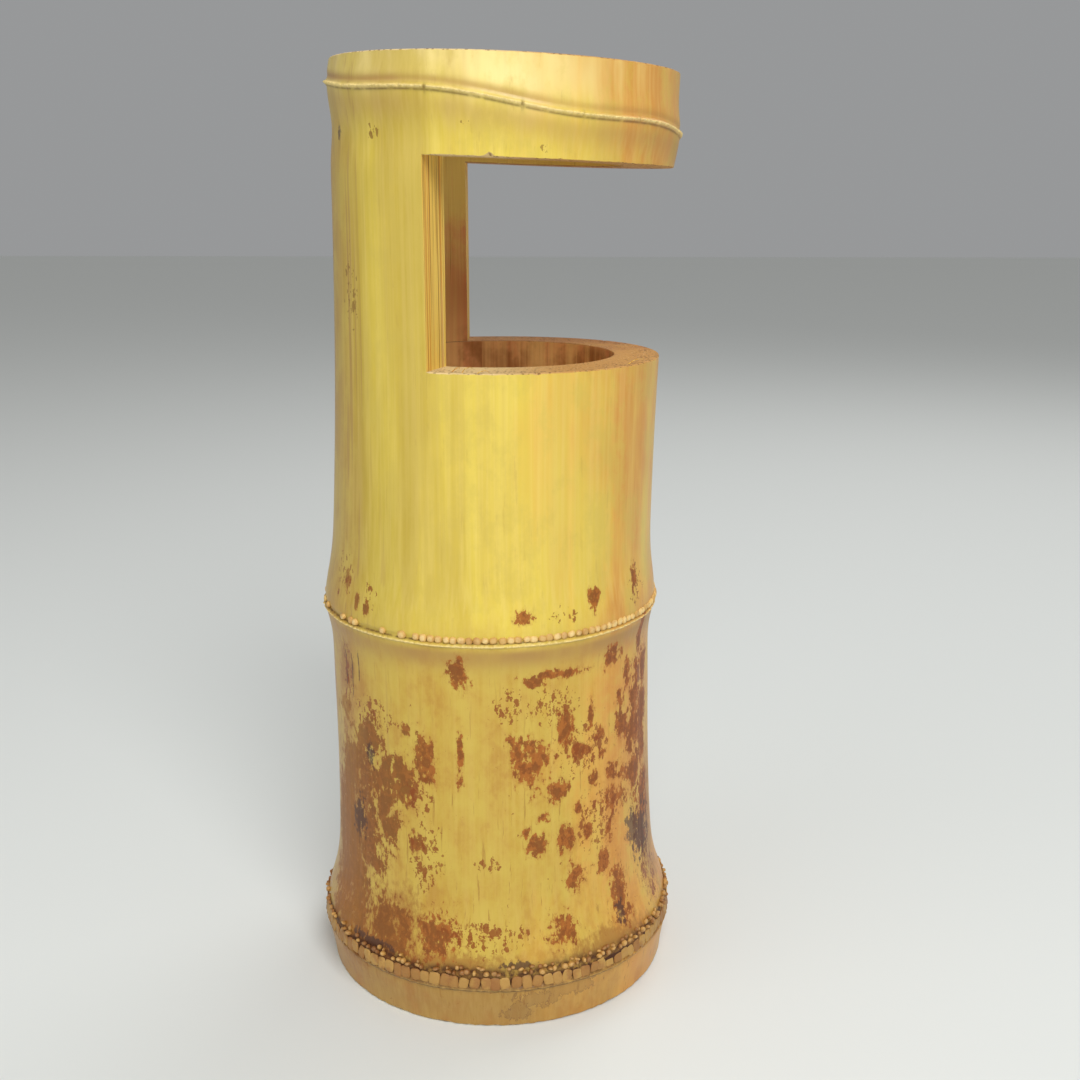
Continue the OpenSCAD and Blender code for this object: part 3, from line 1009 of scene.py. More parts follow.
    def lay_stains(self, make: Paint, y: Socket, tall: Socket) -> tuple[Socket, Socket]:
        """Lays the washes, the ragged stains, the smudges and the dark spots, one of which is painted shade
        in the chip at the lintel's edge.

        Args:
            make: The bark's paint.
            y: Distance towards the back wall.
            tall: Coordinates in which the noise is drawn out up the culm.

        Returns:
            The mask of the stains and the mottle inside them.
        """
        ragged = make.plus(make.times(make.noise(tall, 150.0, 5.0, 0.6), 1.3),
                           make.times(make.noise(tall, 560.0, 6.0, 0.7), 1.7))
        ragged = make.minus(make.plus(ragged, make.times(make.grain(520.0, 70.0, 3.0), 0.4)), 1.7)
        wash = make.plus(make.times(make.deepest(self.washes), 0.8), make.times(ragged, 0.8))
        wash = make.between(wash, -0.05, 0.5)
        make.lay(make.times(wash, 0.72), self.wash)
        small = make.times(make.most(make.deepest(self.stains), -1.2), 0.58)
        large = make.math("MINIMUM", make.times(make.deepest(self.fields), 0.9), 0.36)
        stain_edge = make.plus(make.most(small, large), ragged)
        stain = make.between(stain_edge, 0.135, 0.19)
        mottle = make.noise(make.where, 330.0, 5.0, 0.7)
        stain_colour = make.blend(make.between(make.minus(mottle, make.times(stain_edge, 0.3)), 0.3, 0.5),
                                  self.stain, self.stain_pale)
        stain_colour = make.blend(make.between(y, 0.01, 0.036, end=0.5), stain_colour, self.aged)
        make.lay(make.times(make.between(stain_edge, -0.1, 0.2), 0.28), self.stain_pale)
        strength = make.times(make.between(mottle, 0.2, 0.6, start=0.8, end=0.95),
                              make.between(y, 0.042, 0.051, start=1.0, end=0.55))
        make.lay(make.times(stain, strength), stain_colour)
        smudge = make.plus(make.times(make.deepest(self.smudges), 0.8), make.times(ragged, 1.5))
        outline = make.minus(1.0, make.between(make.math("ABSOLUTE", make.minus(smudge, 0.12)), 0.01, 0.08))
        smudge = make.most(make.between(smudge, 0.1, 0.16, end=0.3), outline)
        make.lay(make.times(smudge, 0.9), self.smudge)
        # Dark spots, with painted shade in the lintel's chip.
        dark = make.between(make.plus(make.times(make.deepest(self.darks_and_notch_shade), 0.7), ragged), 0.15, 0.34)
        make.lay(make.times(dark, 0.78), self.deep)
        return stain, mottle

    def lay_flecks(self, make: Paint, z: Socket) -> None:
        """Lays small flecks: a few all over, and more where the specks are.

        Args:
            make: The bark's paint.
            z: Height up the culm.
        """
        speck_depth = make.between(make.deepest(self.specks), -0.05, 0.6)
        few = make.between(z, 0.15, 0.11, start=0.06, end=0.2)
        amount = make.plus(few, make.times(speck_depth, 0.5))
        fleck = make.blend(make.between(z, 0.2, 0.24), self.fleck, self.fleck_upper)
        for scale, shade in ((480.0, 0.85), (1000.0, 0.75)):
            placed = make.group("flecks", Vector=make.where, Scale=scale, Amount=amount)
            make.lay(make.times(placed["Mask"], shade), fleck)

    def lay_scars(self, make: Paint, scar: Socket, crevice_shade: Socket) -> Socket:
        """Lays the leaf scars' pale lips and the painted shade in the crevices beside them.

        Args:
            make: The bark's paint.
            scar: Mask of the lips.
            crevice_shade: Mask of the painted shade in the crevices.

        Returns:
            How far the lips are broken up.
        """
        broken = make.between(make.noise(make.where, 1300.0, 3.0, 0.6), 0.32, 0.6, start=0.45, end=1.0)
        make.lay(make.times(make.times(scar, broken), 1.1, clamp=True), self.cream)
        # Painted shade in the crevices, broken up by noise.
        gap = make.between(make.noise(make.where, 420.0, 3.0, 0.6), 0.3, 0.55, start=0.35, end=1.0)
        make.lay(make.times(crevice_shade, gap, clamp=True), self.crevice_shade)
        return broken

    def make(self) -> bpy.types.Material:
        """Makes the bark material."""
        make = Paint(self, self.lower)
        where = make.where
        _, y, z = make.parts(where)
        scar, crevice_shade, dull_and_shade = make.parts(make.named("marks", "Vector"))
        cloud = make.noise(make.vector("MULTIPLY", where, (1.0, 1.0, 0.35)), 34.0, 4.0, 0.6)
        tall = make.vector("MULTIPLY", where, (1.0, 1.0, 0.68))
        broad = make.grain(95.0, 2.2, 3.0)
        fine = make.grain(620.0, 7.0, 4.0)
        hair = make.grain(1500.0, 16.0, 3.0)
        stirred = make.plus(z, make.between(cloud, 0.2, 0.8, start=-0.012, end=0.012))
        make.lay(make.between(stirred, 0.125, 0.152), self.upper)
        make.lay(make.between(stirred, 0.304, 0.326), self.rim)
        make.lay(make.between(stirred, 0.038, 0.008, end=0.7), self.foot)
        make.lay(make.between(z, 0.0215, 0.018, end=0.9), self.foot)
        upper_only = make.between(z, 0.13, 0.16)
        waver = make.plus(make.between(cloud, 0.25, 0.75, start=-0.3, end=0.3),
                          make.times(make.between(broad, 0.25, 0.75, start=-0.18, end=0.18), upper_only))
        to_front = make.plus(make.times(y, -16.0), waver)
        make.lay(make.between(to_front, 0.22, 0.95, end=0.8), self.orange)
        make.lay(make.between(to_front, 0.62, 1.0, end=0.75), self.amber)
        make.lay(make.times(make.between(to_front, 0.1, -0.9, end=0.6), upper_only), self.olive)
        # Painted shade: umber darkening towards the +Y edge, below the rim.
        make.lay(make.times(make.between(y, 0.034, 0.056, end=0.6), make.between(z, 0.316, 0.306)),
                 self.umber_edge_shade)
        streak = make.between(fine, 0.35, 0.7)
        make.lay(make.times(streak, make.between(upper_only, 0.0, 1.0, start=0.1, end=0.2)), self.rim)
        mist = make.noise(tall, 85.0, 6.0, 0.66)
        make.lay(make.times(make.between(mist, 0.44, 0.64, end=0.5), make.between(z, 0.02, 0.026, start=0.1)),
                 self.green)
        make.lay(make.times(make.between(mist, 0.48, 0.32, end=0.3), make.minus(1.0, upper_only)),
                 self.stain_pale)
        make.lay(make.times(make.between(broad, 0.58, 0.4, end=0.14), upper_only), self.dull_and_shade)
        coarse = make.grain(300.0, 3.0, 2.0)
        edge_streak = make.times(make.between(coarse, 0.58, 0.68), make.between(y, 0.022, 0.05))
        make.lay(make.times(edge_streak, 0.6), self.dull_and_shade)
        short = make.grain(760.0, 46.0, 4.0)
        scratch = make.times(make.between(short, 0.6, 0.66), make.between(mist, 0.42, 0.56))
        make.lay(make.times(scratch, make.between(stirred, 0.15, 0.06, start=0.12, end=0.6)), self.wash)
        # Painted shade: the dull band beside the nodes.
        make.lay(make.times(dull_and_shade, make.between(cloud, 0.3, 0.6, start=0.45, end=0.9)), self.dull_and_shade)

        stain, mottle = self.lay_stains(make, y, tall)
        self.lay_flecks(make, z)
        broken = self.lay_scars(make, scar, crevice_shade)

        rough = make.plus(make.between(fine, 0.3, 0.7, start=0.34, end=0.46), make.times(stain, 0.1))
        rough = make.plus(rough, make.times(make.most(scar, crevice_shade), 0.35), clamp=True)
        lost = make.times(make.most(stain, scar), 0.8 * self.coat)
        make.feed(make.shader.inputs["Coat Weight"], make.minus(self.coat, lost))
        height = make.plus(make.times(hair, 0.35), make.times(fine, 0.5))
        height = make.plus(height, make.times(make.times(stain, mottle), 0.5))
        height = make.plus(height, make.times(make.times(scar, broken), 1.2))
        return make.close(rough, height)


@dataclass(frozen=True)
class SawnEndFinish(Finish):
    """Cut across the culm: pale wood full of dark fibre ends, browned towards the back."""

    name: str = "sawn_across"
    relief: float = 0.00035
    roughness: float = 0.78
    specular: float = 0.3
    pale: Colour = linear(234, 206, 148)
    tan: Colour = linear(206, 154, 84)
    brown: Colour = linear(184, 124, 74)
    bright: Colour = linear(252, 236, 190)
    dot: Colour = linear(128, 84, 44)

    def make(self) -> bpy.types.Material:
        """Makes the end-grain material."""
        make = Paint(self, self.pale)
        where = make.where
        x, y, _ = make.parts(where)
        cloud = make.noise(where, 110.0, 4.0, 0.6)
        turned = make.plus(make.times(x, 18.0), make.between(cloud, 0.2, 0.8, start=-0.5, end=0.5))
        make.lay(make.between(y, 0.004, -0.03), self.tan)
        make.lay(make.between(turned, -0.1, 0.8, end=0.8), self.brown)
        pores = make.group("pores", Vector=where, Scale=760.0, Axis=(0.0, -0.0016, 0.0))
        fuzz = make.noise(where, 2400.0, 4.0, 0.7)
        make.lay(make.times(pores["Dot"], make.between(cloud, 0.3, 0.7, start=0.35, end=0.8)), self.dot)
        make.lay(make.between(fuzz, 0.55, 0.72, end=0.5), self.pale)
        make.lay(make.between(fuzz, 0.42, 0.3, end=0.45), self.dot)
        make.lay(make.between(make.noise(where, 1150.0, 3.0, 0.7), 0.64, 0.7, end=0.85), self.bright)
        rough = make.between(fuzz, 0.3, 0.7, start=0.68, end=0.88)
        height = make.plus(make.times(pores["Dot"], -0.6), fuzz)
        return make.close(rough, height)


@dataclass(frozen=True)
class SawnSideFinish(Finish):
    """Cut along the culm: upright fibres in yellow, orange and brown."""

    name: str = "sawn_along"
    relief: float = 0.0004
    roughness: float = 0.6
    specular: float = 0.35
    yellow: Colour = linear(246, 208, 96)
    orange: Colour = linear(222, 158, 56)
    brown: Colour = linear(152, 92, 36)
    white: Colour = linear(246, 228, 170)

    def make(self) -> bpy.types.Material:
        """Makes the long-grain material."""
        make = Paint(self, self.yellow)
        wide = make.grain(720.0, 3.0, 2.0)
        fine = make.grain(1700.0, 8.0, 3.0)
        hair = make.grain(3600.0, 30.0, 2.0)
        make.lay(make.between(wide, 0.48, 0.6), self.orange)
        make.lay(make.between(fine, 0.55, 0.66, end=0.9), self.brown)
        make.lay(make.between(fine, 0.42, 0.3, end=0.7), self.white)
        make.lay(make.between(hair, 0.55, 0.75, end=0.4), self.orange)
        rough = make.between(fine, 0.3, 0.7, start=0.5, end=0.72)
        return make.close(rough, make.plus(fine, make.times(hair, 0.5)))


@dataclass(frozen=True)
class InnerFinish(Finish):
    """Skin of the hollow: pale olive under the hood, red-brown, banded and darker towards the bottom."""

    name: str = "inner_skin"
    relief: float = 0.00025
    roughness: float = 0.62
    specular: float = 0.35
    # Painted light: these colours are set lighter than the skin's own to make up for the dim light inside the
    # hollow.
    olive: Colour = linear(248, 216, 116)
    red: Colour = linear(236, 160, 98)
    tan: Colour = linear(246, 192, 114)
    dark: Colour = linear(158, 98, 40)

    def make(self) -> bpy.types.Material:
        """Makes the inner-skin material."""
        make = Paint(self, self.red)
        where = make.where
        _, _, z = make.parts(where)
        cloud = make.noise(where, 60.0, 4.0, 0.6)
        bands = make.grain(120.0, 4.0)
        fine = make.grain(900.0, 14.0)
        stirred = make.plus(z, make.between(cloud, 0.2, 0.8, start=-0.014, end=0.014))
        make.lay(make.between(bands, 0.38, 0.62), self.tan)
        make.lay(make.between(stirred, 0.262, 0.288), self.olive)
        low_dark = make.times(make.between(stirred, 0.232, 0.215),
                         make.between(bands, 0.62, 0.4, start=0.35, end=0.9))
        make.lay(low_dark, self.dark)
        make.lay(make.between(fine, 0.58, 0.75, end=0.4), self.dark)
        make.lay(make.between(fine, 0.42, 0.3, end=0.35), self.tan)
        rough = make.between(fine, 0.3, 0.7, start=0.5, end=0.72)
        return make.close(rough, make.plus(fine, bands))


@dataclass(frozen=True)
class BudFinish(Finish):
    """Dried root buds: a light tip or pad, with a painted shadow round the foot where each meets the culm and
    a pale top that is partly a painted highlight, each of its own tone.
    """

    name: str = "root_bud"
    relief: float = 0.00025
    roughness: float = 0.55
    light: Colour = linear(232, 194, 116)
    middle: Colour = linear(206, 160, 84)
    # Colour of the painted shadow round each bud's foot.
    shadow: Colour = linear(84, 46, 18)
    # Pale top of each tip: partly the bud's own colour, partly a painted highlight.
    pale_tip_and_highlight: Colour = linear(246, 216, 152)
    rust: Colour = linear(184, 130, 66)

    def make(self) -> bpy.types.Material:
        """Makes the bud material."""
        make = Paint(self, self.middle)
        where = make.where
        tone, tip = make.named("tone"), make.named("tip")
        mottle = make.noise(where, 700.0, 4.0, 0.65)
        make.lay(make.between(tone, 0.1, 0.9), self.light)
        make.lay(make.between(mottle, 0.55, 0.75, end=0.5), self.middle)
        # Painted shadow round the foot of each bud, where it meets the culm.
        above_painted_shadow = make.plus(tip, make.between(mottle, 0.2, 0.8, start=-0.2, end=0.2))
        make.lay(make.between(above_painted_shadow, 0.22, 0.0, end=0.85), self.shadow)
        blotch = make.noise(where, 130.0, 4.0, 0.6)
        # Pale top on each tip: partly the bud's own colour, partly a painted highlight.
        make.lay(make.times(make.between(tip, 0.75, 1.0, end=0.6),
                            make.between(tone, 0.0, 0.6, start=0.2, end=1.0)), self.pale_tip_and_highlight)
        make.lay(make.between(blotch, 0.5, 0.64, end=0.6), self.rust)
        rough = make.between(mottle, 0.3, 0.7, start=0.42, end=0.66)
        return make.close(rough, mottle)


@dataclass(frozen=True)
class PartitionFinish(Finish):
    """Natural partition inside a node: dull tan, felted, browned in clouds."""

    name: str = "partition_skin"
    relief: float = 0.0004
    roughness: float = 0.8
    specular: float = 0.25
    pale: Colour = linear(206, 172, 116)
    brown: Colour = linear(142, 98, 54)

    def make(self) -> bpy.types.Material:
        """Makes the partition material."""
        make = Paint(self, self.pale)
        where = make.where
        cloud, felt = make.noise(where, 70.0, 5.0, 0.65), make.noise(where, 1100.0, 4.0, 0.7)
        make.lay(make.between(cloud, 0.4, 0.66, end=0.85), self.brown)
        make.lay(make.between(felt, 0.55, 0.7, end=0.35), self.brown)
        rough = make.between(felt, 0.3, 0.7, start=0.7, end=0.9)
        return make.close(rough, make.plus(felt, cloud))


@dataclass(frozen=True)
class CopperFinish(Finish):
    """Copper sheet gone brown with age, brighter where it is handled, with a few green-grey spots."""

    name: str = "brown_copper_sheet"
    relief: float = 0.00012
    roughness: float = 0.36
    metallic: float = 1.0
    bright: Colour = linear(214, 138, 104)
    brown: Colour = linear(134, 80, 56)
    spot: Colour = linear(112, 110, 84)

    def make(self) -> bpy.types.Material:
        """Makes the copper material."""
        make = Paint(self, self.bright)
        where = make.where
        cloud = make.noise(where, 55.0, 5.0, 0.62)
        draw = make.noise(make.vector("MULTIPLY", where, (1.0, 1.0, 26.0)), 60.0, 3.0)
        spots = make.between(make.noise(where, 210.0, 4.0, 0.7), 0.62, 0.7)
        make.lay(make.between(cloud, 0.36, 0.62), self.brown)
        make.lay(make.times(spots, 0.6), self.spot)
        make.feed(make.shader.inputs["Metallic"], make.minus(1.0, make.times(spots, 0.7)))
        rough = make.plus(make.between(cloud, 0.3, 0.7, start=0.28, end=0.46), make.times(spots, 0.3))
        return make.close(rough, draw)


@dataclass(frozen=True)
class FinishSet:
    """Every finish of the vase, made once and shared by its pieces."""

    bark: bpy.types.Material
    sawn_end: bpy.types.Material
    sawn_side: bpy.types.Material
    inner: bpy.types.Material
    bud: bpy.types.Material
    pad: bpy.types.Material
    nub: bpy.types.Material
    partition: bpy.types.Material
    copper: bpy.types.Material
    wire: bpy.types.Material

    @classmethod
    def prepare(cls) -> "FinishSet":
        """Builds the shared shader groups, then the materials."""
        for group in (grain_group, patch_group, fleck_group, pore_group):
            group()
        return cls(bark=BarkFinish().make(), sawn_end=SawnEndFinish().make(),
                   sawn_side=SawnSideFinish().make(), inner=InnerFinish().make(), bud=BudFinish().make(),
                   pad=BudFinish(name="root_pad", light=linear(190, 148, 76), middle=linear(158, 108, 50),
                                 pale_tip_and_highlight=linear(184, 140, 70), rust=linear(150, 96, 46)).make(),
                   nub=BudFinish(name="root_nub", light=linear(196, 148, 76), middle=linear(146, 94, 42),
                                 pale_tip_and_highlight=linear(216, 174, 106), rust=linear(120, 70, 32)).make(),
                   partition=PartitionFinish().make(), copper=CopperFinish().make(),
                   wire=CopperFinish(name="drawn_copper_wire", roughness=0.28,
                                     brown=linear(160, 96, 68)).make())

    def wall(self) -> list[bpy.types.Material]:
        """Materials of a piece of the culm, in the order of Side."""
        by_side = {Side.BARK: self.bark, Side.SAWN_END: self.sawn_end, Side.INNER: self.inner,
                   Side.SAWN_SIDE: self.sawn_side}
        return [by_side[side] for side in Side]


def settle(piece: bpy.types.Object, body: str, slot: str, nodes: Sequence[str] = (),
           materials: Sequence[bpy.types.Material] = ()) -> None:
    """Dresses a piece and tells the frame what it rides on and what it stands for.

    Args:
        piece: The piece.
        body: Body that it rides on.
        slot: Material slot of the record; not used.
        nodes: Nodes of the part that it replaces.
        materials: Its materials, in the order of their slots.
    """
    for material in materials:
        piece.data.materials.append(material)
    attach(piece, body)
    if nodes:
        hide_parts(*nodes)
    log.info("%s: %d faces on %s", piece.name, len(piece.data.polygons), body)


@dataclass
class Culm:
    """The culm's own members, from the sawn foot up to the sawn rim."""

    finishes: FinishSet
    coarse_row: float = 2.0
    fine_row: float = 0.4
    node_columns: int = 768
    slot_of: dict[str, str] = field(default_factory=lambda: {
        "foot_ring": "bamboo_foot", "foot_node": "bamboo_node", "middle_node": "bamboo_node",
        "top_node": "bamboo_node"})

    def walls(self) -> list[CulmWall]:
        """Sizes of every member that runs all the way round."""
        f = FORM
        foot_low, foot_high = Cut(f.foot_node_z - f.band_below), Cut(f.foot_node_z + f.band_above)
        middle_low, middle_high = Cut(f.middle_node_z - f.band_below), Cut(f.middle_node_z + f.band_above)
        tilt = f.top_node_tilt
        top_low = Cut(f.top_node_z - f.top_band_below, tilt)
        top_high = Cut(f.top_node_z + f.top_band_above, tilt)
        ground = Cut(0.0, edge=Edge.SAWN, bevel=0.7)
        sill = Cut(f.sill_z, edge=Edge.WINDOW, bevel=0.35, chips=((196.0, 0.02, 0.25), (318.0, 0.012, 0.7)))
        lintel = Cut(f.lintel_z, f.lintel_fall, Edge.WINDOW, 0.25,
                     ((179.5, 0.017, 1.3), (201.0, 0.008, 0.3), (330.0, 0.01, 0.5)))
        rim = Cut(f.rim_z, f.rim_fall, Edge.SAWN, 0.3, ((24.0, 0.012, 0.6), (290.0, 0.02, 0.4)))
        fine, many = self.fine_row, self.node_columns
        return [CulmWall("foot_end", "foot_ring", ground, foot_low, f.lower_bore, row=1.0),
                CulmWall("lowest_node", "foot_node", foot_low, foot_high, f.lower_bore, many, fine),
                CulmWall("lower_culm", "lower_internode", foot_high, middle_low, f.lower_bore,
                         row=self.coarse_row),
                CulmWall("waist_node", "middle_node", middle_low, middle_high, f.cup_bore, many, 0.3),
                CulmWall("cup_side", "cup_wall", middle_high, sill, f.cup_bore, 512, self.coarse_row, 18),
                CulmWall("hood_band", "hood", lintel, top_low, f.cup_bore, 512, 0.8, 14),
                CulmWall("crown_node", "top_node", top_low, top_high, f.cup_bore, many, 0.28),
                CulmWall("rim_band", "rim_ring", top_high, rim, f.rim_bore, 512, 0.8, 14)]

    def build(self) -> None:
        """Makes every member."""
        for wall in self.walls():
            settle(wall.build(), "culm", self.slot_of.get(wall.node, "bamboo_bark"), [wall.node],
                   self.finishes.wall())
        settle(BackWall().build(), "culm", "bamboo_bark", ["back_wall"], self.finishes.wall())


@dataclass
class Partition:
    """Natural partition across the hollow: a thin dished disc, thicker where it meets the wall."""

    name: str
    node: str
    height: float
    bore: float
    rise: float = 0.0
    thick: float = 5.0
    root: float = 3.0
    columns: int = 144
    buried: float = 0.3

    def put(self, radius: Array, height: Array, angle: Array) -> Array:
        """Points on the culm's axis, tilted, with shallow wrinkles that only go into the disc."""
        radius, height, angle = np.broadcast_arrays(radius, height, angle)
        reach = np.minimum(radius, self.bore + self.buried)
        wrinkle = Ripple(91, (3, 19))(angle, radius * 0.15) + np.sin(radius * 0.55)
        sunk = 0.16 * (1.0 + 0.5 * wrinkle) * np.sin(np.pi * np.clip(reach / self.bore, 0.0, 1.0)) ** 2
        z = self.height + height - np.sign(height) * np.clip(sunk, 0.0, 0.4)
        z = z + math.tan(math.radians(self.rise)) * (reach * np.sin(angle) - FORM.shift(z))
        return FORM.place(z, angle, reach)

    def build(self, finishes: FinishSet) -> None:
        """Makes the disc."""
        half, outer = self.thick / 2.0, self.bore + self.buried
        inward = np.linspace(0.0, self.bore - self.root, 14)
        section = [(0.0, -half)] + [(float(r), -half) for r in inward[1:]]
        section += [(outer - 0.8, -half - self.root * 0.55), (outer, -half - self.root), (outer, half)]
        section += [(float(r), half) for r in inward[:0:-1]] + [(0.0, half)]
        settle(turned_shell(self.name, section, self.columns, self.put), "culm", "bamboo_pith", [self.node],
               [finishes.partition])


def geometry_tree(name: str, inputs: dict[str, str]) -> tuple[NodeMaker, dict[str, str]]:
    """Starts a Geometry Nodes tree that gives a geometry, with named inputs.

    Args:
        name: Name of the tree.
        inputs: Kind of socket for each input, such as Float or Material.

    Returns:
        A maker for its nodes, and the identifier of each input.
    """
    tree = bpy.data.node_groups.new(name, "GeometryNodeTree")
    tree.interface.new_socket("Geometry", in_out="OUTPUT", socket_type="NodeSocketGeometry")
    keys = {}
    for label, kind in inputs.items():
        socket = tree.interface.new_socket(label, in_out="INPUT", socket_type=f"NodeSocket{kind}")
        keys[label] = socket.identifier
    return NodeMaker(tree), keys


def grown(name: str, tree: bpy.types.NodeTree, values: dict[str, object]) -> bpy.types.Object:
    """Makes a plain, smooth mesh from a Geometry Nodes tree.

    Args:
        name: Name of the piece.
        tree: The tree, whose input Finish is the piece's material.
        values: A value for each identifier of the tree's inputs.

    Returns:
        The finished object.
    """
    piece = bpy.data.objects.new(name, bpy.data.meshes.new(name))
    bpy.context.scene.collection.objects.link(piece)
    modifier = piece.modifiers.new(tree.name, "NODES")
    modifier.node_group = tree
    for key, value in values.items():
        modifier[key] = value
    bake_modifiers(piece)
    count = len(piece.data.polygons)
    piece.data.polygons.foreach_set("use_smooth", np.ones(count, dtype=bool))
    return piece


def live(node: bpy.types.Node, name: str, way: str = "inputs") -> Socket:
    """The socket of a name that the node's settings leave in use."""
    return next(socket for socket in getattr(node, way) if socket.name == name and socket.enabled)


class RingTree:
    """Geometry Nodes tree that sets copies of a shape round the culm, each turned, sized and toned apart."""

    INPUTS = {"Shape": "Object", "Count": "Int", "Radius": "Float", "Height": "Float", "Shift": "Float",
              "Spread": "Float", "Waver": "Float", "Lean": "Float", "Size": "Float", "Size Swing": "Float",
              "Kept": "Float", "Kept Swing": "Float", "Dense Angle": "Float", "Seed": "Int",
              "Finish": "Material"}
    TWIST, NOD = 0.35, 0.12

    def __init__(self) -> None:
        """Builds the tree."""
        self.make, self.keys = geometry_tree("ring_of_buds", self.INPUTS)
        self.given = self.make.node("NodeGroupInput").outputs
        self.join()

    def chance(self, salt: int, low: float = -1.0, high: float = 1.0) -> Socket:
        """A random number for each point, from the tree's seed and a number of its own."""
        node = self.make.node("FunctionNodeRandomValue", data_type="FLOAT")
        live(node, "Min").default_value, live(node, "Max").default_value = low, high
        self.make.feed(live(node, "Seed"), self.make.plus(self.given["Seed"], float(salt)))
        return live(node, "Value", "outputs")

    def join(self) -> None:
        """Lays the nodes from the points to the finished ring."""
        make, given = self.make, self.given
        points = make.node("GeometryNodePoints", {"Count": given["Count"]}).outputs[0]
        index = make.node("GeometryNodeInputIndex").outputs[0]
        turn = make.plus(index, make.times(self.chance(1), given["Spread"]))
        angle = make.times(make.math("DIVIDE", turn, given["Count"]), 2.0 * math.pi)
        x = make.times(make.math("COSINE", angle), given["Radius"])
        y = make.minus(make.times(make.math("SINE", angle), given["Radius"]), given["Shift"])
        z = make.plus(given["Height"], make.times(self.chance(2), given["Waver"]))
        placed = make.node("GeometryNodeSetPosition", {"Geometry": points, "Position": make.combine(x, y, z)})
        facing = make.math("COSINE", make.minus(angle, given["Dense Angle"]))
        kept = make.plus(given["Kept"], make.times(facing, given["Kept Swing"]))
        stays = make.node("FunctionNodeCompare", data_type="FLOAT", operation="LESS_THAN")
        make.feed(live(stays, "A"), self.chance(3, 0.0, 1.0))
        make.feed(live(stays, "B"), kept)
        shape = make.node("GeometryNodeObjectInfo", {"Object": given["Shape"]})
        euler = make.combine(make.times(self.chance(4), self.TWIST),
                             make.plus(given["Lean"], make.times(self.chance(5), self.NOD)), angle)
        rotation = make.node("FunctionNodeEulerToRotation", {0: euler}).outputs[0]
        sizes = [make.times(given["Size"], make.plus(1.0, make.times(self.chance(salt), given["Size Swing"])))
                 for salt in (6, 7, 8)]
        copies = make.node("GeometryNodeInstanceOnPoints",
                           {"Points": placed.outputs[0], "Selection": stays.outputs[0],
                            "Instance": live(shape, "Geometry", "outputs"), "Rotation": rotation,
                            "Scale": make.combine(*sizes)})
        toned = make.node("GeometryNodeStoreNamedAttribute", data_type="FLOAT", domain="INSTANCE")
        make.feed(toned.inputs["Geometry"], copies.outputs[0])
        toned.inputs["Name"].default_value = "tone"
        make.feed(live(toned, "Value"), self.chance(9, 0.0, 1.0))
        real = make.node("GeometryNodeRealizeInstances", {"Geometry": toned.outputs[0]})
        dressed = make.node("GeometryNodeSetMaterial",
                            {"Geometry": real.outputs[0], "Material": given["Finish"]})
        out = make.node("NodeGroupOutput")
        make.feed(out.inputs["Geometry"], dressed.outputs[0])

    def ring(self, name: str, values: dict[str, object]) -> bpy.types.Object:
        """Makes one ring as a plain mesh.

        Args:
            name: Name of the piece.
            values: A value for each of the tree's named inputs.

        Returns:
            The finished object.
        """
        piece = grown(name, self.make.tree, {self.keys[label]: value for label, value in values.items()})
        piece.data.materials.clear()
        piece.data.materials.append(values["Finish"])
        piece.data.polygons.foreach_set("material_index", np.zeros(len(piece.data.polygons), dtype=np.int32))
        return piece


@dataclass(frozen=True)
class BudShape:
    """One root bud: X points away from the culm, Z up it. Sizes are in millimetres."""

    name: str
    wide: float
    tall: float
    proud: float
    droop: float = 0.0
    square: float = 2.0
    sides: int = 10
    profile: tuple[tuple[float, float], ...] = ((1.0, -0.6), (1.0, 0.3), (0.85, 0.72), (0.5, 0.95))

    def build(self) -> bpy.types.Object:
        """Makes the bud, with its tip attribute at 1 on the tip and 0 at the foot."""
        points, tips = [], []
        for share, out in self.profile:
            for k in range(self.sides):
                a = 2.0 * math.pi * k / self.sides
                c, s = math.cos(a), math.sin(a)
                round_off = (abs(c) ** self.square + abs(s) ** self.square) ** (-1.0 / self.square)
                points.append((self.proud * out, 0.5 * self.wide * share * c * round_off,
                               0.5 * self.tall * share * s * round_off + self.droop * max(out, 0.0)))
                tips.append(max(0.0, out))
        points.append((self.proud, 0.0, self.droop))
        tips.append(1.0)
        faces, rows = [], len(self.profile)
        for r in range(rows - 1):
            for k in range(self.sides):
                n = (k + 1) % self.sides
                faces.append((r * self.sides + k, r * self.sides + n, (r + 1) * self.sides + n,
                              (r + 1) * self.sides + k))
        last = (rows - 1) * self.sides
        faces += [(last + k, last + (k + 1) % self.sides, len(points) - 1) for k in range(self.sides)]
        faces.append(tuple(range(self.sides))[::-1])
        piece = new_mesh(self.name, np.array(points), faces, [0] * len(faces))
        face_outwards(piece)
        piece.data.attributes.new("tip", "FLOAT", "POINT").data.foreach_set("value", tips)
        return piece


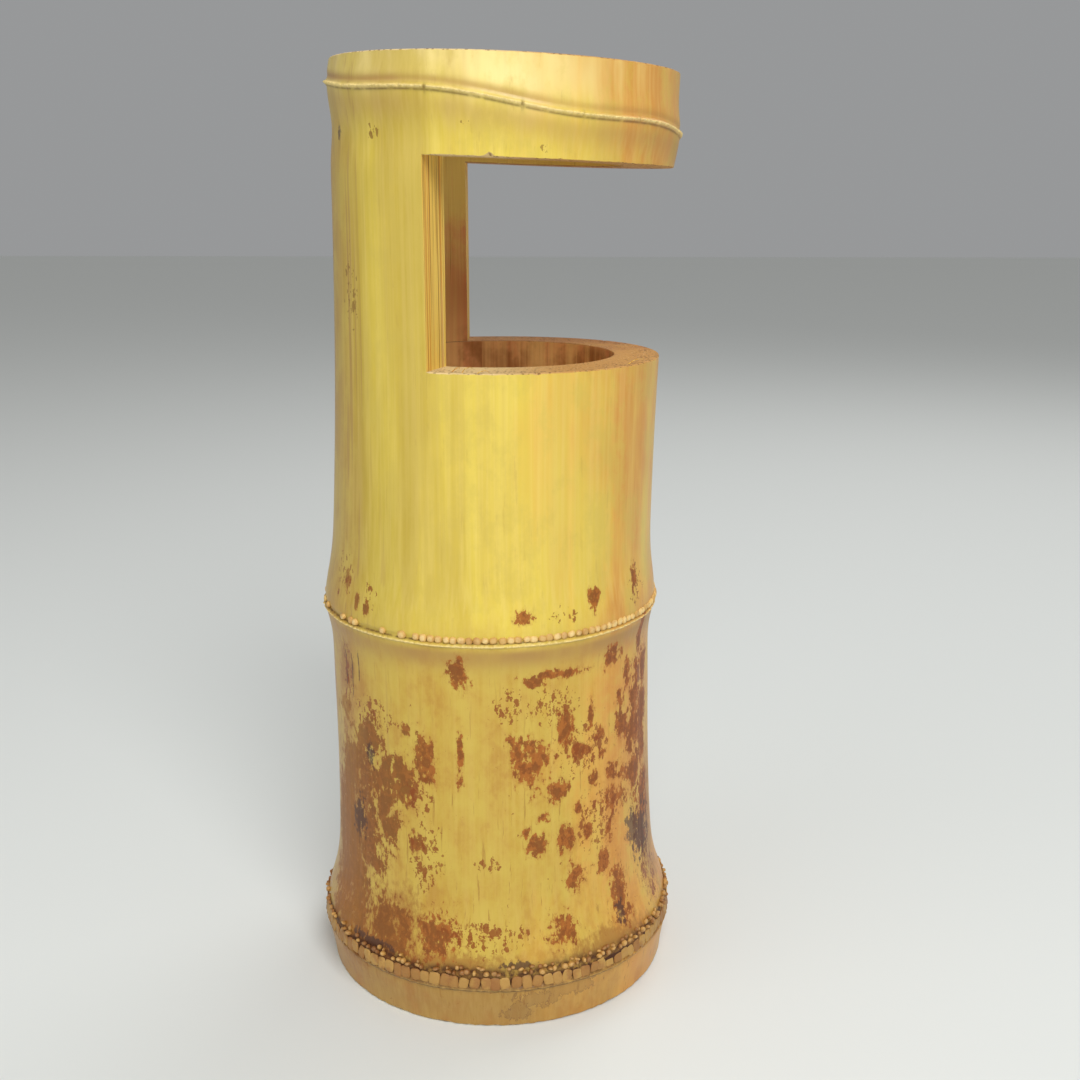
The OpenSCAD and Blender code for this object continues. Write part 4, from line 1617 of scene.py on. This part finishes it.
@dataclass(frozen=True)
class BudRing:
    """One row of root buds: how many, where, and how uneven. Lengths in millimetres, angles in degrees."""

    name: str
    node: str
    shape: BudShape
    count: int
    height: float
    sunk: float = 0.0
    spread: float = 0.2
    waver: float = 0.15
    lean: float = 0.0
    size_swing: float = 0.15
    kept: float = 1.0
    kept_swing: float = 0.0
    dense_angle: float = 0.0
    seed: int = 1

    def values(self, shape: bpy.types.Object, finish: bpy.types.Material) -> dict[str, object]:
        """The tree's inputs for this row."""
        radius = float(np.mean(FORM.radius(np.float64(self.height), np.linspace(-np.pi, np.pi, 90))))
        return {"Shape": shape, "Count": self.count, "Radius": (radius - self.sunk) * MM,
                "Height": self.height * MM, "Shift": float(FORM.shift(np.float64(self.height))) * MM,
                "Spread": self.spread, "Waver": self.waver * MM, "Lean": math.radians(self.lean), "Size": 1.0,
                "Size Swing": self.size_swing, "Kept": self.kept, "Kept Swing": self.kept_swing,
                "Dense Angle": math.radians(self.dense_angle), "Seed": self.seed, "Finish": finish}


@dataclass
class RootBuds:
    """The rows of dried root buds round the lowest and the middle node."""

    finishes: FinishSet
    rings: tuple[BudRing, ...] = (
        BudRing("foot_pads", "foot_root_buds",
                BudShape("pad", 3.8, 4.8, 0.3, square=4.2, sides=16,
                         profile=((1.0, -1.4), (1.0, 0.2), (0.9, 0.8), (0.6, 1.0))),
                114, 18.6, -0.3, spread=0.12, waver=0.22, lean=-5.0, size_swing=0.11, seed=3),
        BudRing("foot_nubs", "foot_root_buds", BudShape("nub", 2.0, 1.8, 1.15, droop=0.2), 150, 22.3,
                spread=0.4, waver=0.45, lean=-8.0, size_swing=0.35, kept=0.86, seed=5),
        BudRing("foot_top_nubs", "foot_root_buds", BudShape("top_nub", 1.7, 1.5, 0.9, droop=0.2), 168, 23.9,
                spread=0.45, waver=0.5, lean=-12.0, size_swing=0.4, kept=0.42, kept_swing=0.3,
                dense_angle=245.0, seed=9),
        BudRing("middle_beads", "middle_root_buds", BudShape("bead", 2.7, 2.5, 0.95, square=3.0, sides=12),
                142, 143.1, spread=0.12, waver=0.12, size_swing=0.16, kept=0.52, kept_swing=0.62,
                dense_angle=232.0, seed=14))

    def finish_of(self, ring: BudRing) -> bpy.types.Material:
        """Pads and nubs at the foot are darker than the beads in the middle."""
        if ring.name == "foot_pads":
            return self.finishes.pad
        return self.finishes.bud if ring.name == "middle_beads" else self.finishes.nub

    def build(self) -> None:
        """Makes every row through the one tree."""
        tree = RingTree()
        for ring in self.rings:
            shape = ring.shape.build()
            finish = self.finish_of(ring)
            piece = tree.ring(ring.name, ring.values(shape, finish))
            bpy.data.objects.remove(shape)
            settle(piece, "culm", "bamboo_buds", [ring.node])


@dataclass
class Splinters:
    """Saw fibres left standing on the rim, the sill and the foot of the left cheek."""

    finishes: FinishSet
    thick: float = 0.2
    taper: float = 0.75
    sides: int = 6
    threads: tuple[tuple[Point, ...], ...] = (
        ((174.7, 58.6, 325.2), (174.4, 59.0, 326.4), (174.2, 58.7, 327.0)),
        ((186.5, 58.4, 325.4), (186.8, 58.8, 326.5), (187.1, 58.5, 327.1)),
        ((172.0, 55.4, 230.8), (173.0, 56.0, 232.2), (174.6, 55.2, 232.8), (175.6, 54.0, 232.2)),
        ((168.0, 54.0, 230.8), (169.5, 54.4, 232.0), (170.6, 53.0, 232.5), (170.2, 52.0, 231.6)),
        ((177.0, 56.8, 230.6), (178.2, 57.4, 231.6), (180.0, 56.6, 231.9), (181.4, 55.6, 231.0)),
        ((236.0, 55.0, 230.8), (237.6, 56.4, 232.1), (240.6, 57.2, 232.6), (243.4, 57.0, 231.8)))

    def thread(self, points: Sequence[Point], start: int) -> tuple[list, list]:
        """One fibre that thins towards its end.

        Args:
            points: Direction in degrees, distance from the axis and height of each bend.
            start: Number of its first corner.

        Returns:
            Its corners and its faces.
        """
        sides, corners, faces = self.sides, [], []
        path = [FORM.place(np.float64(z), np.float64(math.radians(a)), np.float64(r)) for a, r, z in points]
        path = [path[0] + (path[1] - path[0]) * -0.3, *path]
        fine = [path[i] + (path[i + 1] - path[i]) * s for i in range(len(path) - 1)
                for s in (0.0, 0.34, 0.67)]
        fine.append(path[-1])
        for k, at in enumerate(fine):
            ahead = Vector(fine[min(k + 1, len(fine) - 1)] - fine[max(k - 1, 0)]).normalized()
            across = ahead.orthogonal().normalized()
            beside = ahead.cross(across)
            size = self.thick * (1.0 - self.taper * k / (len(fine) - 1))
            for j in range(sides):
                a = 2.0 * math.pi * j / sides
                corners.append(tuple(at + np.array(across * math.cos(a) + beside * math.sin(a)) * size))
        for k in range(len(fine) - 1):
            for j in range(sides):
                n = (j + 1) % sides
                at = start + k * sides
                faces.append((at + j, at + n, at + sides + n, at + sides + j))
        faces.append(tuple(start + j for j in reversed(range(sides))))
        faces.append(tuple(start + (len(fine) - 1) * sides + j for j in range(sides)))
        return corners, faces

    def build(self) -> None:
        """Makes the fibres as one piece."""
        corners, faces = [], []
        for points in self.threads:
            more, shell = self.thread(points, len(corners))
            corners += more
            faces += shell
        piece = new_mesh("saw_fibres", np.array(corners), faces, [0] * len(faces))
        face_outwards(piece)
        settle(piece, "culm", "bamboo_bark", [], [self.finishes.sawn_side])


@dataclass
class Liner:
    """Copper water liner: a tube with a wired rolled edge, let into a flanged base."""

    finishes: FinishSet
    radius: float = 35.1
    sheet: float = 0.8
    tall: float = 61.0
    wire: float = 1.2
    flange: float = 5.0
    seat: float = 3.7
    slack: float = 0.03
    wire_sides: int = 14
    sharp_degrees: float = 40.0
    columns: int = 160

    def put(self, radius: Array, height: Array, angle: Array) -> Array:
        """Points on the cup's leaning axis, standing square to it."""
        slope = (FORM.rim_shift + FORM.middle_shift) / (FORM.rim_z - FORM.middle_node_z)
        up = np.array([0.0, -slope, 1.0]) / math.hypot(slope, 1.0)
        back = np.array([0.0, 1.0, slope]) / math.hypot(slope, 1.0)
        radius, height, angle = np.broadcast_arrays(radius, height, angle)
        foot = np.array([0.0, FORM.middle_shift, FORM.middle_node_z])
        return (foot + (radius * np.cos(angle))[..., None] * np.array([1.0, 0.0, 0.0])
                + (radius * np.sin(angle))[..., None] * back + (height + self.seat)[..., None] * up)

    def wall(self) -> bpy.types.Object:
        """The tube, with hammered softness, rolled outwards round the wire at its edge."""
        middle, turn_z = self.radius - self.sheet / 2.0, self.tall - self.wire - self.sheet
        centre = self.radius + self.wire
        roll = self.wire + self.sheet / 2.0
        path = [(middle, z) for z in np.linspace(self.sheet, turn_z, 24)]
        path += [(centre - roll * math.cos(a), turn_z + roll * math.sin(a))
                 for a in np.linspace(0.2, 5.0, 20)]
        half = self.sheet / 2.0
        left, right = [], []
        for k, (r, z) in enumerate(path):
            before, after = path[max(k - 1, 0)], path[min(k + 1, len(path) - 1)]
            dr, dz = after[0] - before[0], after[1] - before[1]
            size = math.hypot(dr, dz)
            left.append((r - half * dz / size, z + half * dr / size))
            right.append((r + half * dz / size, z - half * dr / size))

        def hammered(radius: Array, height: Array, angle: Array) -> Array:
            """Shallow planishing marks on the plain part of the tube."""
            plain = np.clip(np.minimum(height - 6.0, turn_z - 3.0 - height) / 4.0, 0.0, 1.0)
            return self.put(radius - 0.06 * plain * (1.0 + np.sin(17.0 * angle) * np.sin(0.55 * height)),
                            height, angle)
        return turned_shell("liner_tube", left + right[::-1], self.columns, hammered)

    def base(self) -> bpy.types.Object:
        """The pan that closes the tube, with soft corners and a raised centre."""
        inner, outer, sheet, flange = self.radius, self.radius + self.sheet, self.sheet, self.flange
        section = [(0.0, 0.25), (inner - 8.0, 0.25), (inner - 6.0, 0.0), (outer - 0.9, 0.0),
                   (outer - 0.25, 0.25), (outer, 0.9), (outer, flange - 0.2), (outer - 0.2, flange),
                   (inner + 0.05, flange), (inner + 0.02, sheet + 0.02), (inner - 6.2, sheet),
                   (inner - 8.2, sheet + 0.25), (0.0, sheet + 0.25)]
        return turned_shell("liner_pan", section, self.columns, self.put)

    def edge_wire(self) -> bpy.types.Object:
        """The wire inside the rolled edge, swept along its circle by Geometry Nodes."""
        make, keys = geometry_tree("wire_ring", {"Ring Radius": "Float", "Wire Radius": "Float",
                                                 "Finish": "Material"})
        given = make.node("NodeGroupInput").outputs
        ring = make.node("GeometryNodeCurvePrimitiveCircle", mode="RADIUS")
        live(ring, "Resolution").default_value = self.columns
        make.feed(live(ring, "Radius"), given["Ring Radius"])
        section = make.node("GeometryNodeCurvePrimitiveCircle", mode="RADIUS")
        live(section, "Resolution").default_value = self.wire_sides
        make.feed(live(section, "Radius"), given["Wire Radius"])
        swept = make.node("GeometryNodeCurveToMesh",
                          {"Curve": ring.outputs[0], "Profile Curve": section.outputs[0]})
        real = make.node("GeometryNodeRealizeInstances", {"Geometry": swept.outputs[0]})
        dressed = make.node("GeometryNodeSetMaterial",
                            {"Geometry": real.outputs[0], "Material": given["Finish"]})
        make.feed(make.node("NodeGroupOutput").inputs["Geometry"], dressed.outputs[0])
        piece = grown("liner_edge_wire", make.tree, {
            keys["Ring Radius"]: self.radius + self.wire, keys["Wire Radius"]: self.wire - self.slack,
            keys["Finish"]: self.finishes.wire})
        corners = np.array([v.co for v in piece.data.vertices]).reshape(-1, 3)
        height = corners[:, 2] + self.tall - self.wire - self.sheet
        angle = np.arctan2(corners[:, 1], corners[:, 0])
        placed = self.put(np.hypot(corners[:, 0], corners[:, 1]), height, angle) * MM
        piece.data.vertices.foreach_set("co", placed.ravel())
        face_outwards(piece)
        return piece

    def build(self) -> None:
        """Makes the three parts of the liner."""
        wall, base, wire = self.wall(), self.base(), self.edge_wire()
        for part in (wall, base):
            part.data.set_sharp_from_angle(angle=math.radians(self.sharp_degrees))
        settle(wall, "liner", "aged_copper", ["liner_wall"], [self.finishes.copper])
        settle(base, "liner", "aged_copper", ["liner_base"], [self.finishes.copper])
        settle(wire, "liner", "copper_wire", ["liner_rim_wire"])


@dataclass
class Studio:
    """Pale floor, soft light and the camera at the photograph's viewing angle, in metres."""

    camera_at: Point = (-0.4744, -0.0338, 0.2856)
    camera_heading: tuple[float, float] = (0.99939, 0.03589)
    camera_fall: float = 14.61
    lens: float = 44.1
    sensor: float = 36.0
    nearest: float = 0.01
    aim: Point = (0.0, 0.0, 0.17)
    sky: float = 0.38
    floor_half: float = 6.0
    floor_colour: Colour = linear(224, 227, 224)
    floor_roughness: float = 0.9
    lamps: tuple[tuple[str, Point, float, float], ...] = (
        ("key", (-1.0, -0.3, 1.15), 0.8, 15.0), ("fill", (-0.9, 1.2, 0.9), 1.4, 4.0),
        ("back", (0.9, -0.6, 1.3), 1.0, 6.0))
    backdrop: Colour = (0.31, 0.315, 0.32, 1.0)

    def floor_material(self) -> bpy.types.Material:
        """Plain pale floor."""
        material = bpy.data.materials.new("studio_floor")
        material.use_nodes = True
        shader = material.node_tree.nodes["Principled BSDF"]
        shader.inputs["Base Color"].default_value = self.floor_colour
        shader.inputs["Roughness"].default_value = self.floor_roughness
        return material

    def floor(self) -> None:
        """Large flat floor just under the foot."""
        half = self.floor_half / MM
        corners = np.array([(-half, -half, 0.0), (half, -half, 0.0), (half, half, 0.0), (-half, half, 0.0)])
        piece = new_mesh("studio_floor", corners, [(0, 1, 2, 3)], [0])
        piece.data.materials.append(self.floor_material())

    def light(self) -> None:
        """Soft lamps aimed at the vase, and a soft world that shows a plain pale grey behind it."""
        target = Vector(self.aim)
        for name, at, size, power in self.lamps:
            data = bpy.data.lights.new(name, "AREA")
            data.shape, data.size, data.energy = "DISK", size, power
            lamp = bpy.data.objects.new(name, data)
            lamp.location = at
            lamp.rotation_euler = (target - Vector(at)).to_track_quat("-Z", "Y").to_euler()
            bpy.context.scene.collection.objects.link(lamp)
        world = bpy.data.worlds.new("studio_world")
        bpy.context.scene.world = world
        world.use_nodes = True
        world.node_tree.nodes.clear()
        make = NodeMaker(world.node_tree)
        path = make.node("ShaderNodeLightPath")
        seen = make.most(path.outputs["Is Camera Ray"], path.outputs["Is Transmission Ray"])
        seen = make.most(seen, path.outputs["Is Glossy Ray"])
        soft = make.node("ShaderNodeBackground", {"Color": (1.0, 1.0, 1.0, 1.0), "Strength": self.sky})
        plain_grey = make.node("ShaderNodeBackground", {"Color": self.backdrop, "Strength": 1.0})
        mixed = make.node("ShaderNodeMixShader", {0: seen, 1: soft.outputs[0], 2: plain_grey.outputs[0]})
        make.node("ShaderNodeOutputWorld", {"Surface": mixed.outputs[0]})

    def camera(self) -> None:
        """Camera at the photograph's place and lens."""
        data = bpy.data.cameras.new("camera")
        data.lens, data.sensor_width, data.clip_start = self.lens, self.sensor, self.nearest
        camera = bpy.data.objects.new("camera", data)
        camera.location = self.camera_at
        fall = math.radians(self.camera_fall)
        look = Vector((*(math.cos(fall) * part for part in self.camera_heading), -math.sin(fall)))
        camera.rotation_euler = look.to_track_quat("-Z", "Y").to_euler()
        bpy.context.scene.collection.objects.link(camera)
        bpy.context.scene.camera = camera

    def build(self) -> None:
        """Sets the whole studio."""
        self.floor()
        self.light()
        self.camera()
        bpy.context.scene.view_settings.view_transform = "Standard"


def plain(box: Sequence[Sequence[float]]) -> list[list[float]]:
    """A box as plain lists of numbers."""
    return [[float(value) for value in corner] for corner in box]


def main() -> None:
    """Builds the vase and its studio."""
    logging.basicConfig(level=logging.INFO, format="%(message)s")
    finishes = FinishSet.prepare()
    Culm(finishes).build()
    f = FORM
    for partition in (
            Partition("foot_partition", "foot_diaphragm", f.foot_node_z + 1.0, f.lower_bore),
            Partition("cup_floor", "middle_diaphragm", f.middle_node_z + 1.0, f.cup_bore),
            Partition("hood_partition", "top_diaphragm", f.top_node_z, f.cup_bore, f.top_node_tilt)):
        partition.build(finishes)
    RootBuds(finishes).build()
    Splinters(finishes).build()
    Liner(finishes).build()
    Studio().build()


if __name__ == "__main__":
    main()
